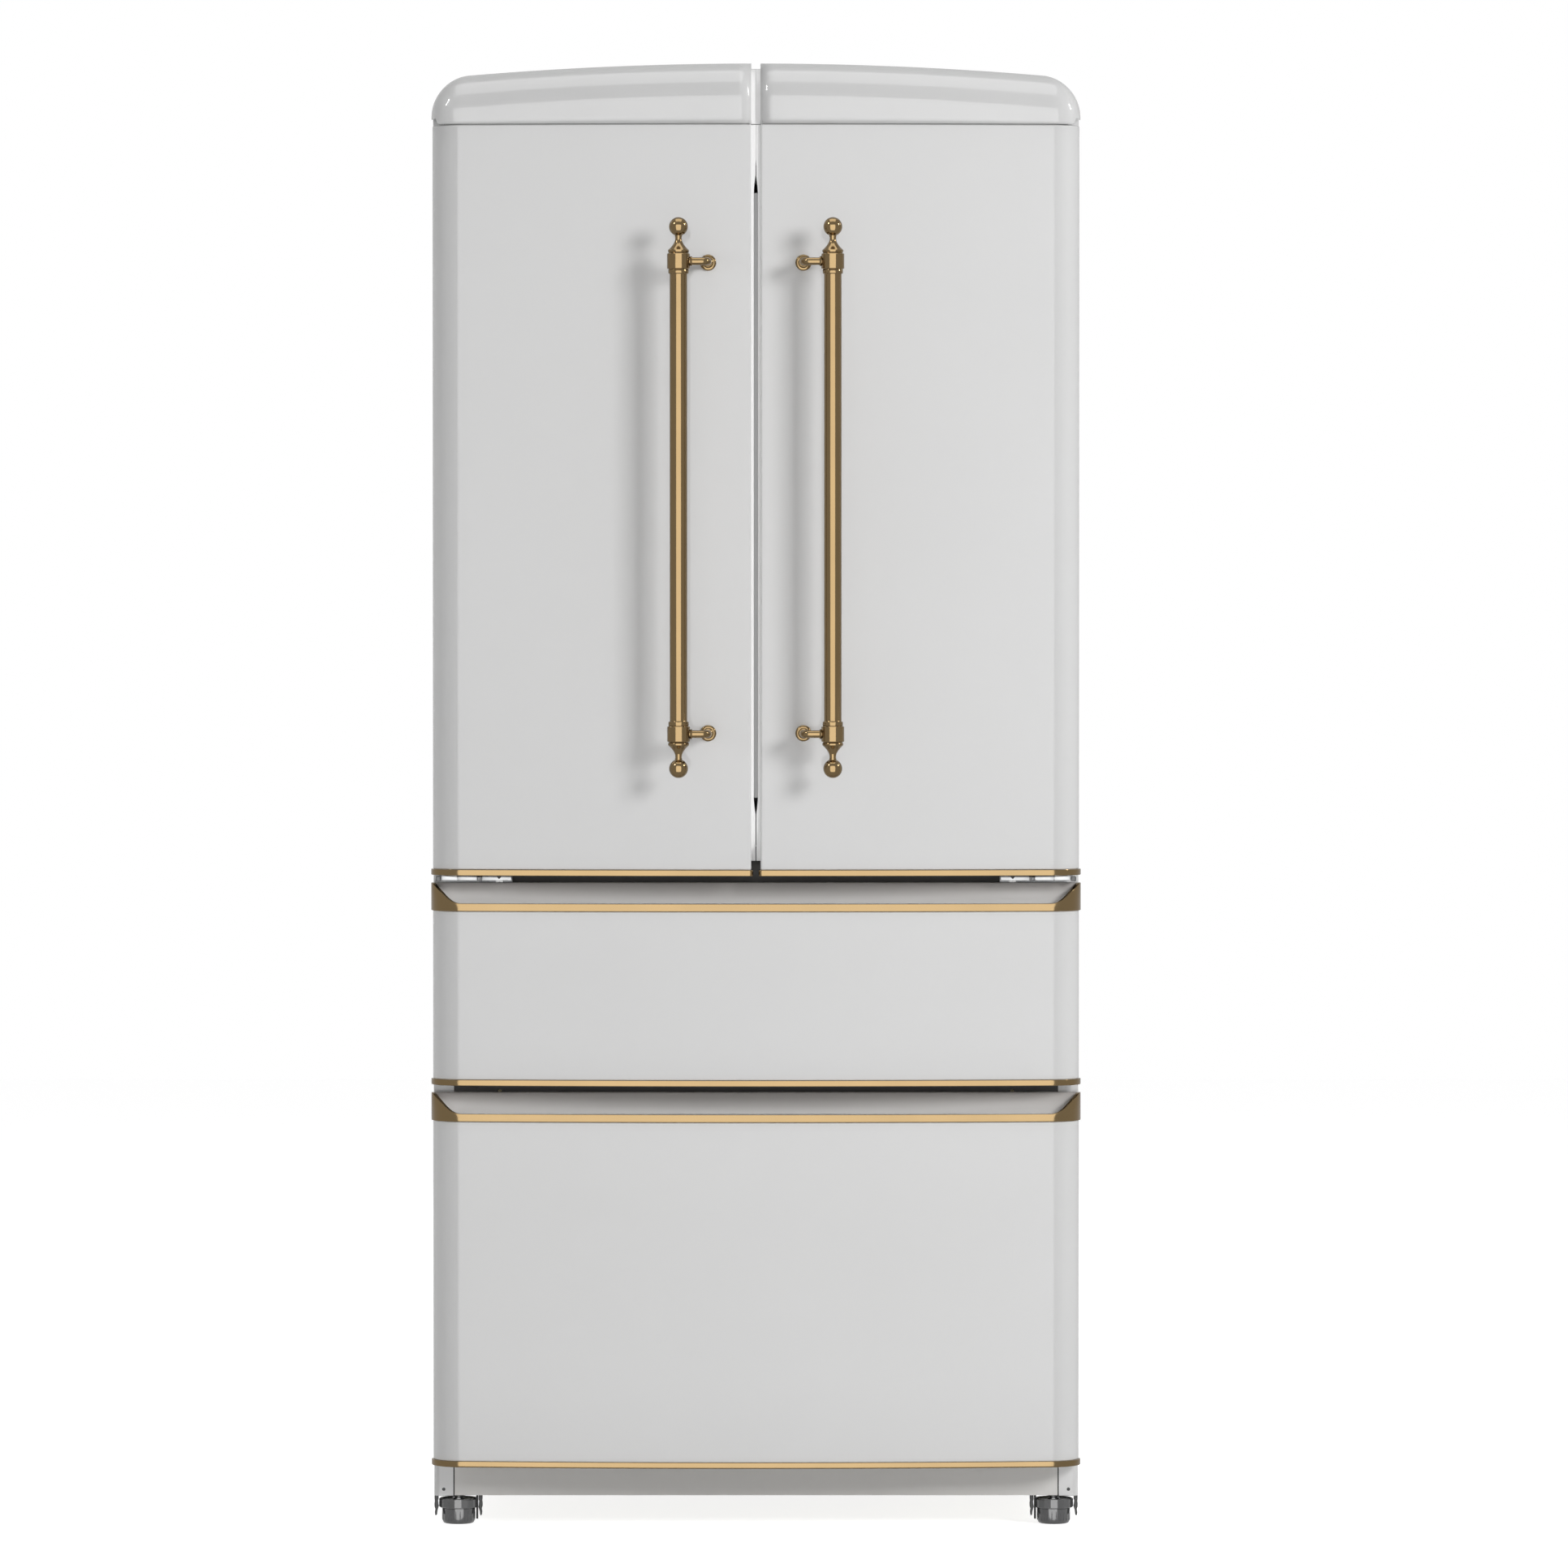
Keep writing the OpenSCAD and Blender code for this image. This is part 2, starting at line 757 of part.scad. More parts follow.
// Space above the lip of a drawer front, seen from the front.
module scoop(lip) {
    top = lip + corner_rise;
    polygon([
        [-half_w - 5, top + 5], [-half_w - 5, top], [-half_w, top], [22 - half_w, lip + 7],
        [35 - half_w, lip], [half_w - 35, lip], [half_w - 22, lip + 7], [half_w, top],
        [half_w + 5, top], [half_w + 5, top + 5]
    ]);
}

module scoop_body(lip, y1) {
    translate([0, y1, 0]) rotate([90, 0, 0]) linear_extrude(height = y1 - front_y + 10) scoop(lip);
}

module drawer_front(bottom, lip) {
    z0 = bottom + trim_h;
    z1 = lip - lip_trim_h;
    color(white) difference() {
        slab(0, door_y, z0, z1);
        slab(skin, door_y + 5, z0 + skin, z1 - skin);
        box(-362.2, 362.2, front_y + 19.8, door_y - 11.8, z1 - 5, z1 + 1);
    }
}

// Space behind the lip for the fingers, with a floor that curves up into the back wall.
module cove(lip) {
    r = 36;
    intersection() {
        box(-359, 359, front_y + 23, door_y - 16, lip - 20, lip + 20);
        along_x(-360, 360, door_y - 16 - r, lip + 20, 2 * r);
    }
}

module drawer_grip(lip) {
    z1 = lip - lip_trim_h;
    top = lip + corner_rise;
    color(white) difference() {
        union() {
            slab(trim_out, door_y, z1, top);
            box(-362, 362, front_y + 20, door_y - 12, lip - 19, z1 + 1);
        }
        scoop_body(lip, door_y - 16);
        cove(lip);
    }
}

module drawer_trims(bottom, lip) {
    z1 = lip - lip_trim_h;
    top = lip + corner_rise;
    color(brass) {
        difference() {
            slab(-trim_out, door_y - 4, z1, top);
            slab(trim_out - 0.1, door_y, z1 - 1, top + 1);
            scoop_body(lip, door_y);
            both() box(352, 352.2, front_y - 5, door_y, z1 - 1, top + 1);
        }
        difference() {
            slab(-trim_out, door_y - 4, bottom, bottom + trim_h);
            slab(1.2, door_y, bottom - 1, bottom + trim_h + 1);
        }
    }
}

module drawer_pan(bottom, lip, z0, z1) {
    low = bottom + trim_h + skin + 0.3;
    high = lip - lip_trim_h - skin - 0.3;
    color(white) difference() {
        union() {
            box(0.3 + skin - half_w, half_w - skin - 0.3, door_y - 2.5, door_y - 0.2, low, high);
            box(-340, 340, door_y - 0.4, door_y + 20, z0, z1);
        }
        box(-337, 337, door_y - 3, door_y + 17, z0 + 3, z1 - 3);
    }
}

module drawer_gasket(z0, z1) {
    color([0.8, 0.8, 0.8]) ring(-370, 370, z0, z1, door_y, face_y - 0.3, 18);
}

module runners(z) {
    both() box(322.2, 339.8, door_y + 24, rail_y1, z - 3.8, z + 3.8);
}

module slides(z) {
    color(steel) both() difference() {
        box(336, 344.6, rail_y0 + 2, rail_y1 - 5, z - 16.7, z + 16.7);
        box(335, 340, rail_y0, rail_y1, z - 4, z + 4);
    }
}

module upper_front() {
    drawer_front(upper_z, upper_lip);
}

module upper_grip() {
    drawer_grip(upper_lip);
}

module upper_trims() {
    drawer_trims(upper_z, upper_lip);
}

module upper_inner_pan() {
    drawer_pan(upper_z, upper_lip, 592, 758);
}

module upper_gasket() {
    drawer_gasket(560, 790);
}

module upper_bin() {
    color([0.9, 0.92, 0.93]) {
        tub(-322, 322, door_y + 20, 250, 592, 745, 3);
        runners(rail_upper_z);
    }
}

module upper_slides() {
    slides(rail_upper_z);
}

module lower_front() {
    drawer_front(lower_z, lower_lip);
}

module lower_grip() {
    drawer_grip(lower_lip);
}

module lower_trims() {
    drawer_trims(lower_z, lower_lip);
}

module lower_inner_pan() {
    drawer_pan(lower_z, lower_lip, 122, 500);
}

module lower_gasket() {
    drawer_gasket(92, 533);
}

module lower_bin() {
    color([0.9, 0.92, 0.93]) {
        tub(-322, 322, door_y + 20, step_y - 14, 122, 440, 3);
        tub(-322, 322, step_y - 13.8, 250, step_z + 12, 440, 3);
        runners(rail_lower_z);
    }
}

module lower_slides() {
    slides(rail_lower_z);
}

// ---- feet and rollers ----

module foot(x) {
    color(dark) {
        translate([x, foot_y, 0]) cylinder(h = 5, d1 = 31, d2 = 39, $fn = 64);
        translate([x, foot_y, 5]) cylinder(h = 18, d1 = 39, d2 = 41, $fn = 64);
        translate([x, foot_y, 23]) cylinder(h = 9, d = 51, $fn = 64);
        upright(x, foot_y, 32, wall_z - 2, 10);
    }
}

module roller(x) {
    color(dark) difference() {
        translate([x - 10, roller_y, roller_r]) rotate([0, 90, 0]) cylinder(h = 20, r = roller_r, $fn = 64);
        along_x(x - 11, x + 11, roller_y, roller_r, bore_d);
    }
}

module left_foot() {
    foot(-foot_x);
}

module right_foot() {
    foot(foot_x);
}

module left_roller() {
    roller(-roller_x);
}

module right_roller() {
    roller(roller_x);
}

// ---- assembly ----

cabinet_shell();
top_cap();
insulation();
fridge_liner();
pantry_liner();
freezer_liner();
front_rails();
rear_panel();
base_frame();
kick_plate();
machine_cover();
compressor();
condenser();
fan_motor();
top_hinges();
middle_hinges();
screws();
shelf_frames();
shelf_glass();
crispers();
light();
mullion_guide();
outer_rails();
power_inlet();
left_panel();
left_inner_pan();
left_crown();
left_trim();
left_gasket();
left_bar();
left_posts();
left_bins();
right_panel();
right_inner_pan();
right_crown();
right_trim();
right_gasket();
right_bar();
right_posts();
right_bins();
mullion();
upper_front();
upper_inner_pan();
upper_grip();
upper_trims();
upper_gasket();
upper_bin();
upper_slides();
lower_front();
lower_inner_pan();
lower_grip();
lower_trims();
lower_gasket();
lower_bin();
lower_slides();
fan();
left_foot();
right_foot();
left_roller();
right_roller();
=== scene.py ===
import bmesh
import bpy
import math
import numpy as np
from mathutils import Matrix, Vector


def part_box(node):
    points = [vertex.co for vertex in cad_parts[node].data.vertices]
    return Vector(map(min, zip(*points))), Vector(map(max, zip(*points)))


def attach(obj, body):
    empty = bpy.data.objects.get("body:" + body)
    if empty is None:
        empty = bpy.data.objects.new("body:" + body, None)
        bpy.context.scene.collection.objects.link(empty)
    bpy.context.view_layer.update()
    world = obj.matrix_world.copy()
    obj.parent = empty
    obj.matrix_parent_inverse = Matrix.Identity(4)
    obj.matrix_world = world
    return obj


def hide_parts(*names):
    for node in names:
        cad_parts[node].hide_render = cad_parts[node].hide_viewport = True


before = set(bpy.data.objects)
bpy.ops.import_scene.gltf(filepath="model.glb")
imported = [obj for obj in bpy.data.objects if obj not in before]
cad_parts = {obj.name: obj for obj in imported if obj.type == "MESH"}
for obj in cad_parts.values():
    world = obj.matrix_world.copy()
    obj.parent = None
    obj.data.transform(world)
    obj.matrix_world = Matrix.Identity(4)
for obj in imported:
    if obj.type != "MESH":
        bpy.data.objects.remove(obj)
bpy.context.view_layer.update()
MM = 0.001

# ---- sizes, in millimetres, read from the CAD boxes ----


def node_box(name):
    low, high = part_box(name)
    return [v / MM for v in low], [v / MM for v in high]


PANEL_LO, PANEL_HI = node_box("right_panel")
CROWN_LO, CROWN_HI = node_box("right_crown")
FRONT_Y = PANEL_LO[1]
DOOR_Y = PANEL_HI[1]
HALF_W = PANEL_HI[0]
HALF_GAP = node_box("right_trim")[0][0]
PANEL_Z0, SEAM_Z = PANEL_LO[2], PANEL_HI[2]
TOP_Z = CROWN_HI[2]
BOW_R = 3710.0  # bow of the fronts, seen from above
CORNER_R = 40.0  # outer vertical corners
ARCH_R = 4500.0  # arch of the top, seen from the front
TRIM_OUT = 2.3  # how far the brass stands out of the fronts
CORNER_X = HALF_W - CORNER_R
CORNER_Y = FRONT_Y + BOW_R - math.sqrt((BOW_R - CORNER_R) ** 2 - CORNER_X ** 2)

# ---- materials ----


def new_material(name, base, rough, metal=0.0, coat=0.0, coat_rough=0.12, spec=0.5, alpha=1.0,
                 transmission=0.0):
    mat = bpy.data.materials.new(name)
    mat.use_nodes = True
    shader = mat.node_tree.nodes["Principled BSDF"]
    shader.inputs["Base Color"].default_value = (*base, 1.0)
    shader.inputs["Roughness"].default_value = rough
    shader.inputs["Metallic"].default_value = metal
    shader.inputs["Coat Weight"].default_value = coat
    shader.inputs["Coat Roughness"].default_value = coat_rough
    shader.inputs["Specular IOR Level"].default_value = spec
    shader.inputs["Alpha"].default_value = alpha
    shader.inputs["Transmission Weight"].default_value = transmission
    return mat, mat.node_tree, shader


def noise(tree, scale, detail=3.0, stretch=(1, 1, 1)):
    coord = tree.nodes.new("ShaderNodeTexCoord")
    mapping = tree.nodes.new("ShaderNodeMapping")
    mapping.inputs["Scale"].default_value = stretch
    tex = tree.nodes.new("ShaderNodeTexNoise")
    tex.inputs["Scale"].default_value = scale
    tex.inputs["Detail"].default_value = detail
    tree.links.new(coord.outputs["Object"], mapping.inputs["Vector"])
    tree.links.new(mapping.outputs["Vector"], tex.inputs["Vector"])
    return tex


def ramp(tree, source, low, high, at=(0.3, 0.7)):
    node = tree.nodes.new("ShaderNodeValToRGB")
    for element, place_at, colour in zip(node.color_ramp.elements, at, (low, high)):
        element.position = place_at
        element.color = (*colour, 1.0)
    tree.links.new(source, node.inputs["Fac"])
    return node


def map_range(tree, source, low, high):
    node = tree.nodes.new("ShaderNodeMapRange")
    node.inputs["To Min"].default_value = low
    node.inputs["To Max"].default_value = high
    tree.links.new(source.outputs["Fac"], node.inputs["Value"])
    return node


def bump(tree, shader, source, strength, distance):
    node = tree.nodes.new("ShaderNodeBump")
    node.inputs["Strength"].default_value = strength
    node.inputs["Distance"].default_value = distance
    tree.links.new(source.outputs["Fac"], node.inputs["Height"])
    tree.links.new(node.outputs["Normal"], shader.inputs["Normal"])


def surface(name, base, rough, spread=0.04, tint=0.03, scale=60.0, bump_scale=900.0, bump_by=0.00004,
            stretch=(1, 1, 1), **more):
    """A procedural finish: soft colour drift, uneven gloss and a fine surface grain."""
    mat, tree, shader = new_material(name, base, rough, **more)
    drift = noise(tree, scale * 0.08, 4.0)
    dark = tuple(max(0.0, c * (1 - tint)) for c in base)
    light = tuple(min(1.0, c * (1 + tint * 0.5)) for c in base)
    colour = ramp(tree, drift.outputs["Fac"], dark, light)
    tree.links.new(colour.outputs["Color"], shader.inputs["Base Color"])
    gloss = noise(tree, scale, 5.0, stretch)
    tree.links.new(map_range(tree, gloss, max(0.02, rough - spread), rough + spread).outputs["Result"],
                   shader.inputs["Roughness"])
    bump(tree, shader, noise(tree, bump_scale, 3.0, stretch), 0.35, bump_by)
    return mat


def paint_light(mat, strength):
    """Painted light: a faint white emission on a surface that is no lamp, brightening it deep in a narrow
    gap.
    """
    shader = mat.node_tree.nodes["Principled BSDF"]
    shader.inputs["Emission Color"].default_value = (1.0, 1.0, 1.0, 1.0)
    shader.inputs["Emission Strength"].default_value = strength


def paint_shade_upwards(mat, dark):
    """Painted shade: multiplies the colour by a ramp from white at the piece's foot to dark at its top."""
    tree = mat.node_tree
    shader = tree.nodes["Principled BSDF"]
    coord = tree.nodes.new("ShaderNodeTexCoord")
    axes = tree.nodes.new("ShaderNodeSeparateXYZ")
    tree.links.new(coord.outputs["Generated"], axes.inputs["Vector"])
    shade = ramp(tree, axes.outputs["Z"], (1.0, 1.0, 1.0), dark, at=(0.45, 0.95))
    tinted = tree.nodes.new("ShaderNodeMix")
    tinted.data_type = "RGBA"
    tinted.blend_type = "MULTIPLY"
    tinted.inputs["Factor"].default_value = 1.0
    tree.links.new(shader.inputs["Base Color"].links[0].from_socket, tinted.inputs["A"])
    tree.links.new(shade.outputs["Color"], tinted.inputs["B"])
    tree.links.new(tinted.outputs["Result"], shader.inputs["Base Color"])


PAINT = surface("paint_white", (0.72, 0.72, 0.718), 0.42, coat=0.9, coat_rough=0.035, spec=0.25, tint=0.010,
                bump_scale=420.0, bump_by=0.00002)
CROWN = surface("crown_white", (0.72, 0.72, 0.718), 0.36, coat=1.0, coat_rough=0.02, spec=0.25, tint=0.01,
                bump_scale=300.0, bump_by=0.00001)
# The strips in the gap are a lighter white than the doors' paint: painted light for their place deep in the
# gap
EDGE = surface("edge_white_painted_light", (0.80, 0.80, 0.798), 0.5, tint=0.008, bump_scale=420.0, bump_by=0.00002,
               spec=0.3)
EDGE_GREY = surface("edge_grey_painted_light", (0.62, 0.62, 0.62), 0.55, tint=0.01, spec=0.3)
FOOT = surface("foot_plastic", (0.062, 0.063, 0.065), 0.14, coat=1.0, coat_rough=0.05, spec=1.0, tint=0.10,
               spread=0.04, bump_scale=1400.0, bump_by=0.00001)
KICK = surface("plinth_white", (0.80, 0.785, 0.76), 0.5, tint=0.015, spec=0.3)
GRIP = surface("grip_white_painted_shade", (0.84, 0.825, 0.81), 0.48, tint=0.01, spec=0.3)
LINER = surface("liner_plastic", (0.83, 0.84, 0.85), 0.34, tint=0.02)
CLEAR = surface("clear_plastic", (0.84, 0.89, 0.91), 0.10, tint=0.02, alpha=0.46, transmission=0.25)
GASKET = surface("gasket_rubber", (0.80, 0.80, 0.80), 0.62, tint=0.06, spec=0.3)
FOAM = surface("foam", (0.80, 0.72, 0.48), 0.85, tint=0.15, bump_scale=260.0, bump_by=0.0006, spec=0.2)
BLACK = surface("black_paint", (0.028, 0.028, 0.028), 0.45, tint=0.2, bump_scale=700.0, bump_by=0.00008)
DARK = surface("dark_plastic", (0.062, 0.063, 0.065), 0.26, coat=0.6, coat_rough=0.08, tint=0.12, spread=0.05,
               bump_scale=1400.0, bump_by=0.00003)
PLATE = surface("hinge_plate", (0.66, 0.67, 0.68), 0.34, metal=0.35, tint=0.05, scale=160.0)
RAIL = surface("rail_paint", (0.05, 0.047, 0.043), 0.55, tint=0.12)
GALV = surface("galvanised", (0.56, 0.57, 0.58), 0.36, metal=1.0, tint=0.07, scale=260.0, spread=0.06,
               bump_scale=500.0, bump_by=0.00005)
STEEL = surface("hinge_steel", (0.58, 0.58, 0.57), 0.28, metal=1.0, tint=0.08, stretch=(1, 14, 14),
                scale=120.0)
MULLION = surface("mullion_plastic", (0.34, 0.34, 0.34), 0.42, tint=0.04)
BRASS = surface("brass", (0.255, 0.178, 0.089), 0.12, metal=1.0, tint=0.05, spread=0.03, scale=160.0,
                bump_scale=1200.0, bump_by=0.00001, stretch=(1, 1, 0.15))
BRASS_TRIM = surface("brass_trim", (0.262, 0.184, 0.093), 0.13, metal=1.0, tint=0.05, spread=0.03,
                     scale=160.0, bump_scale=1200.0, bump_by=0.00001, stretch=(0.15, 1, 1))
GLASS = surface("shelf_glass", (0.80, 0.93, 0.90), 0.05, tint=0.02, alpha=0.5, transmission=0.6, spread=0.02)
RIM = surface("seam_rim", (0.48, 0.48, 0.48), 0.4, tint=0.05)
LED = surface("led_lens", (0.95, 0.95, 0.92), 0.35, tint=0.01)
# Painted light: the strips and the gasket lip in the gap get a faint white emission
paint_light(EDGE, 0.22)
paint_light(EDGE_GREY, 0.16)
# Painted shade: the grip's white darkens towards its top, for the door's shadow in the channel
paint_shade_upwards(GRIP, (0.60, 0.58, 0.57))

# ---- mesh helpers ----


def finish_mesh(name, verts, faces, mat, angle=32.0):
    mesh = bpy.data.meshes.new(name)
    mesh.from_pydata([tuple(c * MM for c in v) for v in verts], [], faces)
    mesh.validate()
    bm = bmesh.new()
    bm.from_mesh(mesh)
    bmesh.ops.remove_doubles(bm, verts=bm.verts, dist=1e-6)
    bmesh.ops.recalc_face_normals(bm, faces=bm.faces)
    bm.to_mesh(mesh)
    bm.free()
    mesh.polygons.foreach_set("use_smooth", [True] * len(mesh.polygons))
    mesh.set_sharp_from_angle(angle=math.radians(angle))
    mesh.materials.append(mat)
    obj = bpy.data.objects.new(name, mesh)
    bpy.context.scene.collection.objects.link(obj)
    return obj


def loft(name, rows, mat, closed=True, caps=True, angle=32.0):
    """Skins a list of equally long rows of points; a row can be a closed loop, and the ends can be capped."""
    n = len(rows[0])
    verts = [p for row in rows for p in row]
    faces = []
    last = n if closed else n - 1
    for i in range(len(rows) - 1):
        for j in range(last):
            k = (j + 1) % n
            faces.append((i * n + j, i * n + k, (i + 1) * n + k, (i + 1) * n + j))
    if caps:
        faces.append(tuple(range(n)))
        faces.append(tuple((len(rows) - 1) * n + j for j in range(n)))
    return finish_mesh(name, verts, faces, mat, angle)


def lathe(name, profile, centre, mat, axis="z", steps=56, angle=32.0):
    """Turns (radius, height) pairs about an axis through centre."""
    rows = []
    for r, h in profile:
        row = []
        for i in range(steps):
            a = 2 * math.pi * i / steps
            u, v = r * math.cos(a), r * math.sin(a)
            p = {"z": (u, v, h), "y": (u, h, v), "x": (h, u, v)}[axis]
            row.append(tuple(p[k] + centre[k] for k in range(3)))
        rows.append(row)
    return loft(name, rows, mat, angle=angle)


def tube(name, path, radius, mat, steps=24):
    """A round bar along a list of points that lie in one horizontal plane."""
    rows = []
    for i, p in enumerate(path):
        a = Vector(path[max(i - 1, 0)])
        b = Vector(path[min(i + 1, len(path) - 1)])
        side = (b - a).normalized().cross(Vector((0, 0, 1)))
        rows.append([tuple(Vector(p) + radius * (math.cos(t) * side + math.sin(t) * Vector((0, 0, 1))))
                     for t in [2 * math.pi * k / steps for k in range(steps)]])
    return loft(name, rows, mat)


def arc(cr, ch, radius, a0, a1, steps):
    """Points on an arc about (cr, ch) between two angles in degrees."""
    angles = [math.radians(a0 + (a1 - a0) * k / steps) for k in range(steps + 1)]
    return [(cr + radius * math.cos(a), ch + radius * math.sin(a)) for a in angles]


def rounded_levels(z0, radius, steps):
    """Heights and insets of a rounded lower edge, from the bottom up."""
    angles = [math.pi / 2 * (1 - k / steps) for k in range(steps + 1)]
    return [(z0 + radius * (1 - math.sin(t)), radius * (1 - math.cos(t))) for t in angles]


def rounded_box(name, low, high, mat, radius=1.5, steps=4):
    """A block with evenly rounded edges, built from stacked rounded outlines."""
    levels = rounded_levels(low[2], radius, steps)
    levels += [(high[2] - (z - low[2]), inset) for z, inset in reversed(levels)]
    rows = []
    for z, inset in levels:
        x0, x1 = low[0] + inset + radius, high[0] - inset - radius
        y0, y1 = low[1] + inset + radius, high[1] - inset - radius
        row = []
        for cx, cy, start in ((x1, y1, 0), (x0, y1, 90), (x0, y0, 180), (x1, y0, 270)):
            row += [(x, y, z) for x, y in arc(cx, cy, radius, start, start + 90, steps)]
        rows.append(row)
    return loft(name, rows, mat)


def join(name, parts):
    bpy.ops.object.select_all(action="DESELECT")
    for p in parts:
        p.select_set(True)
    bpy.context.view_layer.objects.active = parts[0]
    bpy.ops.object.join()
    obj = bpy.context.view_layer.objects.active
    obj.name = name
    return obj


def place(obj, body, *nodes, slot=None):
    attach(obj, body)
    if nodes:
        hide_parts(*nodes)
    return obj

# ---- outline of the fronts, seen from above ----

BOW_STEPS = 26
INNER_STEPS = 4  # round a door's inner edge
CORNER_STEPS = 14  # round the outer corner


def bow_y(x):
    """Depth of the front surface at x, with the corner arcs."""
    x = abs(x)
    tangent = CORNER_X * BOW_R / (BOW_R - CORNER_R)
    if x <= tangent:
        return FRONT_Y + BOW_R - math.sqrt(BOW_R ** 2 - x ** 2)
    return CORNER_Y - math.sqrt(max(0.0, CORNER_R ** 2 - (x - CORNER_X) ** 2))


def front_path(x0, edge_r, back):
    """Points and outward normals from the inner edge's back at x0, round the front, to the outer back."""
    y_edge = bow_y(x0 + edge_r)
    pts = [((x0, back), (-1, 0)), ((x0, y_edge + edge_r + 4), (-1, 0))]
    for k in range(INNER_STEPS + 1):
        a = math.pi / 2 * k / INNER_STEPS
        pts.append(((x0 + edge_r * (1 - math.cos(a)), y_edge + edge_r * (1 - math.sin(a))),
                    (-math.cos(a), -math.sin(a))))
    lean_end = math.asin(CORNER_X / (BOW_R - CORNER_R))
    lean_start = math.asin((x0 + edge_r + 3) / BOW_R)
    for k in range(BOW_STEPS + 1):
        a = lean_start + (lean_end - lean_start) * k / BOW_STEPS
        pts.append(((BOW_R * math.sin(a), FRONT_Y + BOW_R * (1 - math.cos(a))), (math.sin(a), -math.cos(a))))
    for k in range(1, CORNER_STEPS + 1):
        a = lean_end + (math.pi / 2 - lean_end) * k / CORNER_STEPS
        pts.append(((CORNER_X + CORNER_R * math.sin(a), CORNER_Y - CORNER_R * math.cos(a)),
                    (math.sin(a), -math.cos(a))))
    pts.append(((HALF_W, (CORNER_Y + back) / 2), (1, 0)))
    pts.append(((HALF_W, back), (1, 0)))
    return pts


def full_path(back):
    """The same outline for a full-width front, from the left back round to the right back."""
    right = [p for p in front_path(0.0, 0.5, back) if p[1][0] >= 0 and p[0][0] > 4]
    left = [((-x, y), (-nx, ny)) for (x, y), (nx, ny) in reversed(right)]
    return left + [((0.0, FRONT_Y), (0.0, -1.0))] + right


def flip(points, sign):
    return [(sign * p[0], *p[1:]) for p in points]


def smooth(edge0, edge1, x):
    t = min(1.0, max(0.0, (x - edge0) / (edge1 - edge0)))
    return t * t * (3 - 2 * t)


def block_rows(path, z0, z1, round_by=1.4, steps=4):
    """Loops of a front block, with softly rounded upper and lower edges."""
    low = rounded_levels(z0, round_by, steps)
    middle = [(z0 + (z1 - z0) * f, 0.0) for f in (0.25, 0.5, 0.75)]
    high = [(z0 + z1 - z, inset) for z, inset in reversed(low)]
    return [[(x - nx * inset, y - ny * inset, z) for (x, y), (nx, ny) in path]
            for z, inset in low + middle + high]


def band_rows(path, low, high, out, depth, lip=0.8):
    """Cross-sections of a brass edge band along a front outline; low and high may depend on x."""
    rows = []
    for (x, y), (nx, ny) in path:
        z0, z1 = low(x), high(x)
        section = [(-depth, z0), (out - lip, z0), (out - 0.35 * lip, z0 + 0.25 * lip), (out, z0 + lip),
                   (out, (z0 + z1) / 2), (out, z1 - lip), (out - 0.35 * lip, z1 - 0.25 * lip),
                   (out - lip, z1), (-depth, z1)]
        rows.append([(x + nx * o, y + ny * o, z) for o, z in section])
    return rows


# ---- crown mouldings ----

CROWN_X = CROWN_HI[0]
CROWN_R = 48.0  # rounding of the front edge under the arch
CROWN_SQUARENESS = 2.9  # exponent of the corner's outline from above, where 2 would be a plain arc
CROWN_BASE = SEAM_Z + 1.2
CROWN_WALL = 2.6
HINGE_TOP = SEAM_Z + 8.4  # the shell's foot where it passes over the top hinge
HINGE_FRONT = FRONT_Y + 30


def top_at(x):
    """Height of the arched top at x."""
    return TOP_Z - ARCH_R + math.sqrt(ARCH_R ** 2 - x ** 2)


def crown_edge_y(x):
    return max(CROWN_LO[1], bow_y(min(x, CORNER_X)) - (CROWN_X - HALF_W))


def crown_stations():
    """Each cross-section's centre x, how far it faces forwards and sideways, and its y where it is fixed."""
    x_corner = CROWN_X - CROWN_R
    stations = [(x, 1.0, 0.0, None) for x in np.linspace(HALF_GAP, x_corner, 22)]
    for t in [math.pi / 2 * k / 15 for k in range(1, 16)]:
        stations.append((x_corner, math.cos(t) ** (2 / CROWN_SQUARENESS),
                         math.sin(t) ** (2 / CROWN_SQUARENESS), None))
    y_side = crown_edge_y(x_corner) + CROWN_R
    return stations + [(x_corner, 0.0, 1.0, y) for y in np.linspace(y_side, DOOR_Y, 4)[1:]]


def crown_row(x0, ahead, aside, y_fixed):
    """A cross-section of the shell: up the wall, round the edge and along the arch to the door's back."""
    yc = crown_edge_y(x0) + CROWN_R if y_fixed is None else y_fixed
    eased = y_fixed is None and aside == 0.0
    lead = 1.6 * max(0.0, 1 - (x0 - HALF_GAP) / 3.0) if eased else 0.0  # softens the edge beside the gap
    y_hit = yc - CROWN_R * ahead + lead
    x_hit = x0 + CROWN_R * aside
    foot = CROWN_BASE if y_hit < HINGE_FRONT else HINGE_TOP
    z_wall = top_at(x_hit) - CROWN_R
    row = [(x_hit, y_hit, foot + (z_wall - foot) * k / 3) for k in range(4)]
    for phi in [math.pi / 2 * k / 12 for k in range(1, 13)]:
        out = CROWN_R * math.cos(phi)
        x = x0 + out * aside
        row.append((x, yc - out * ahead + lead * math.cos(phi), top_at(x) - CROWN_R * (1 - math.sin(phi))))
    return row + [(x0, DOOR_Y if y_fixed is None else y_fixed, top_at(x0))]


def crown_shell(sign):
    rows = [flip(crown_row(*station), sign) for station in crown_stations()]
    shell = loft("crown_shell", rows, CROWN, closed=False, caps=False, angle=40.0)
    wall = shell.modifiers.new("wall", "SOLIDIFY")
    wall.thickness = CROWN_WALL * MM
    wall.offset = -1.0
    return shell


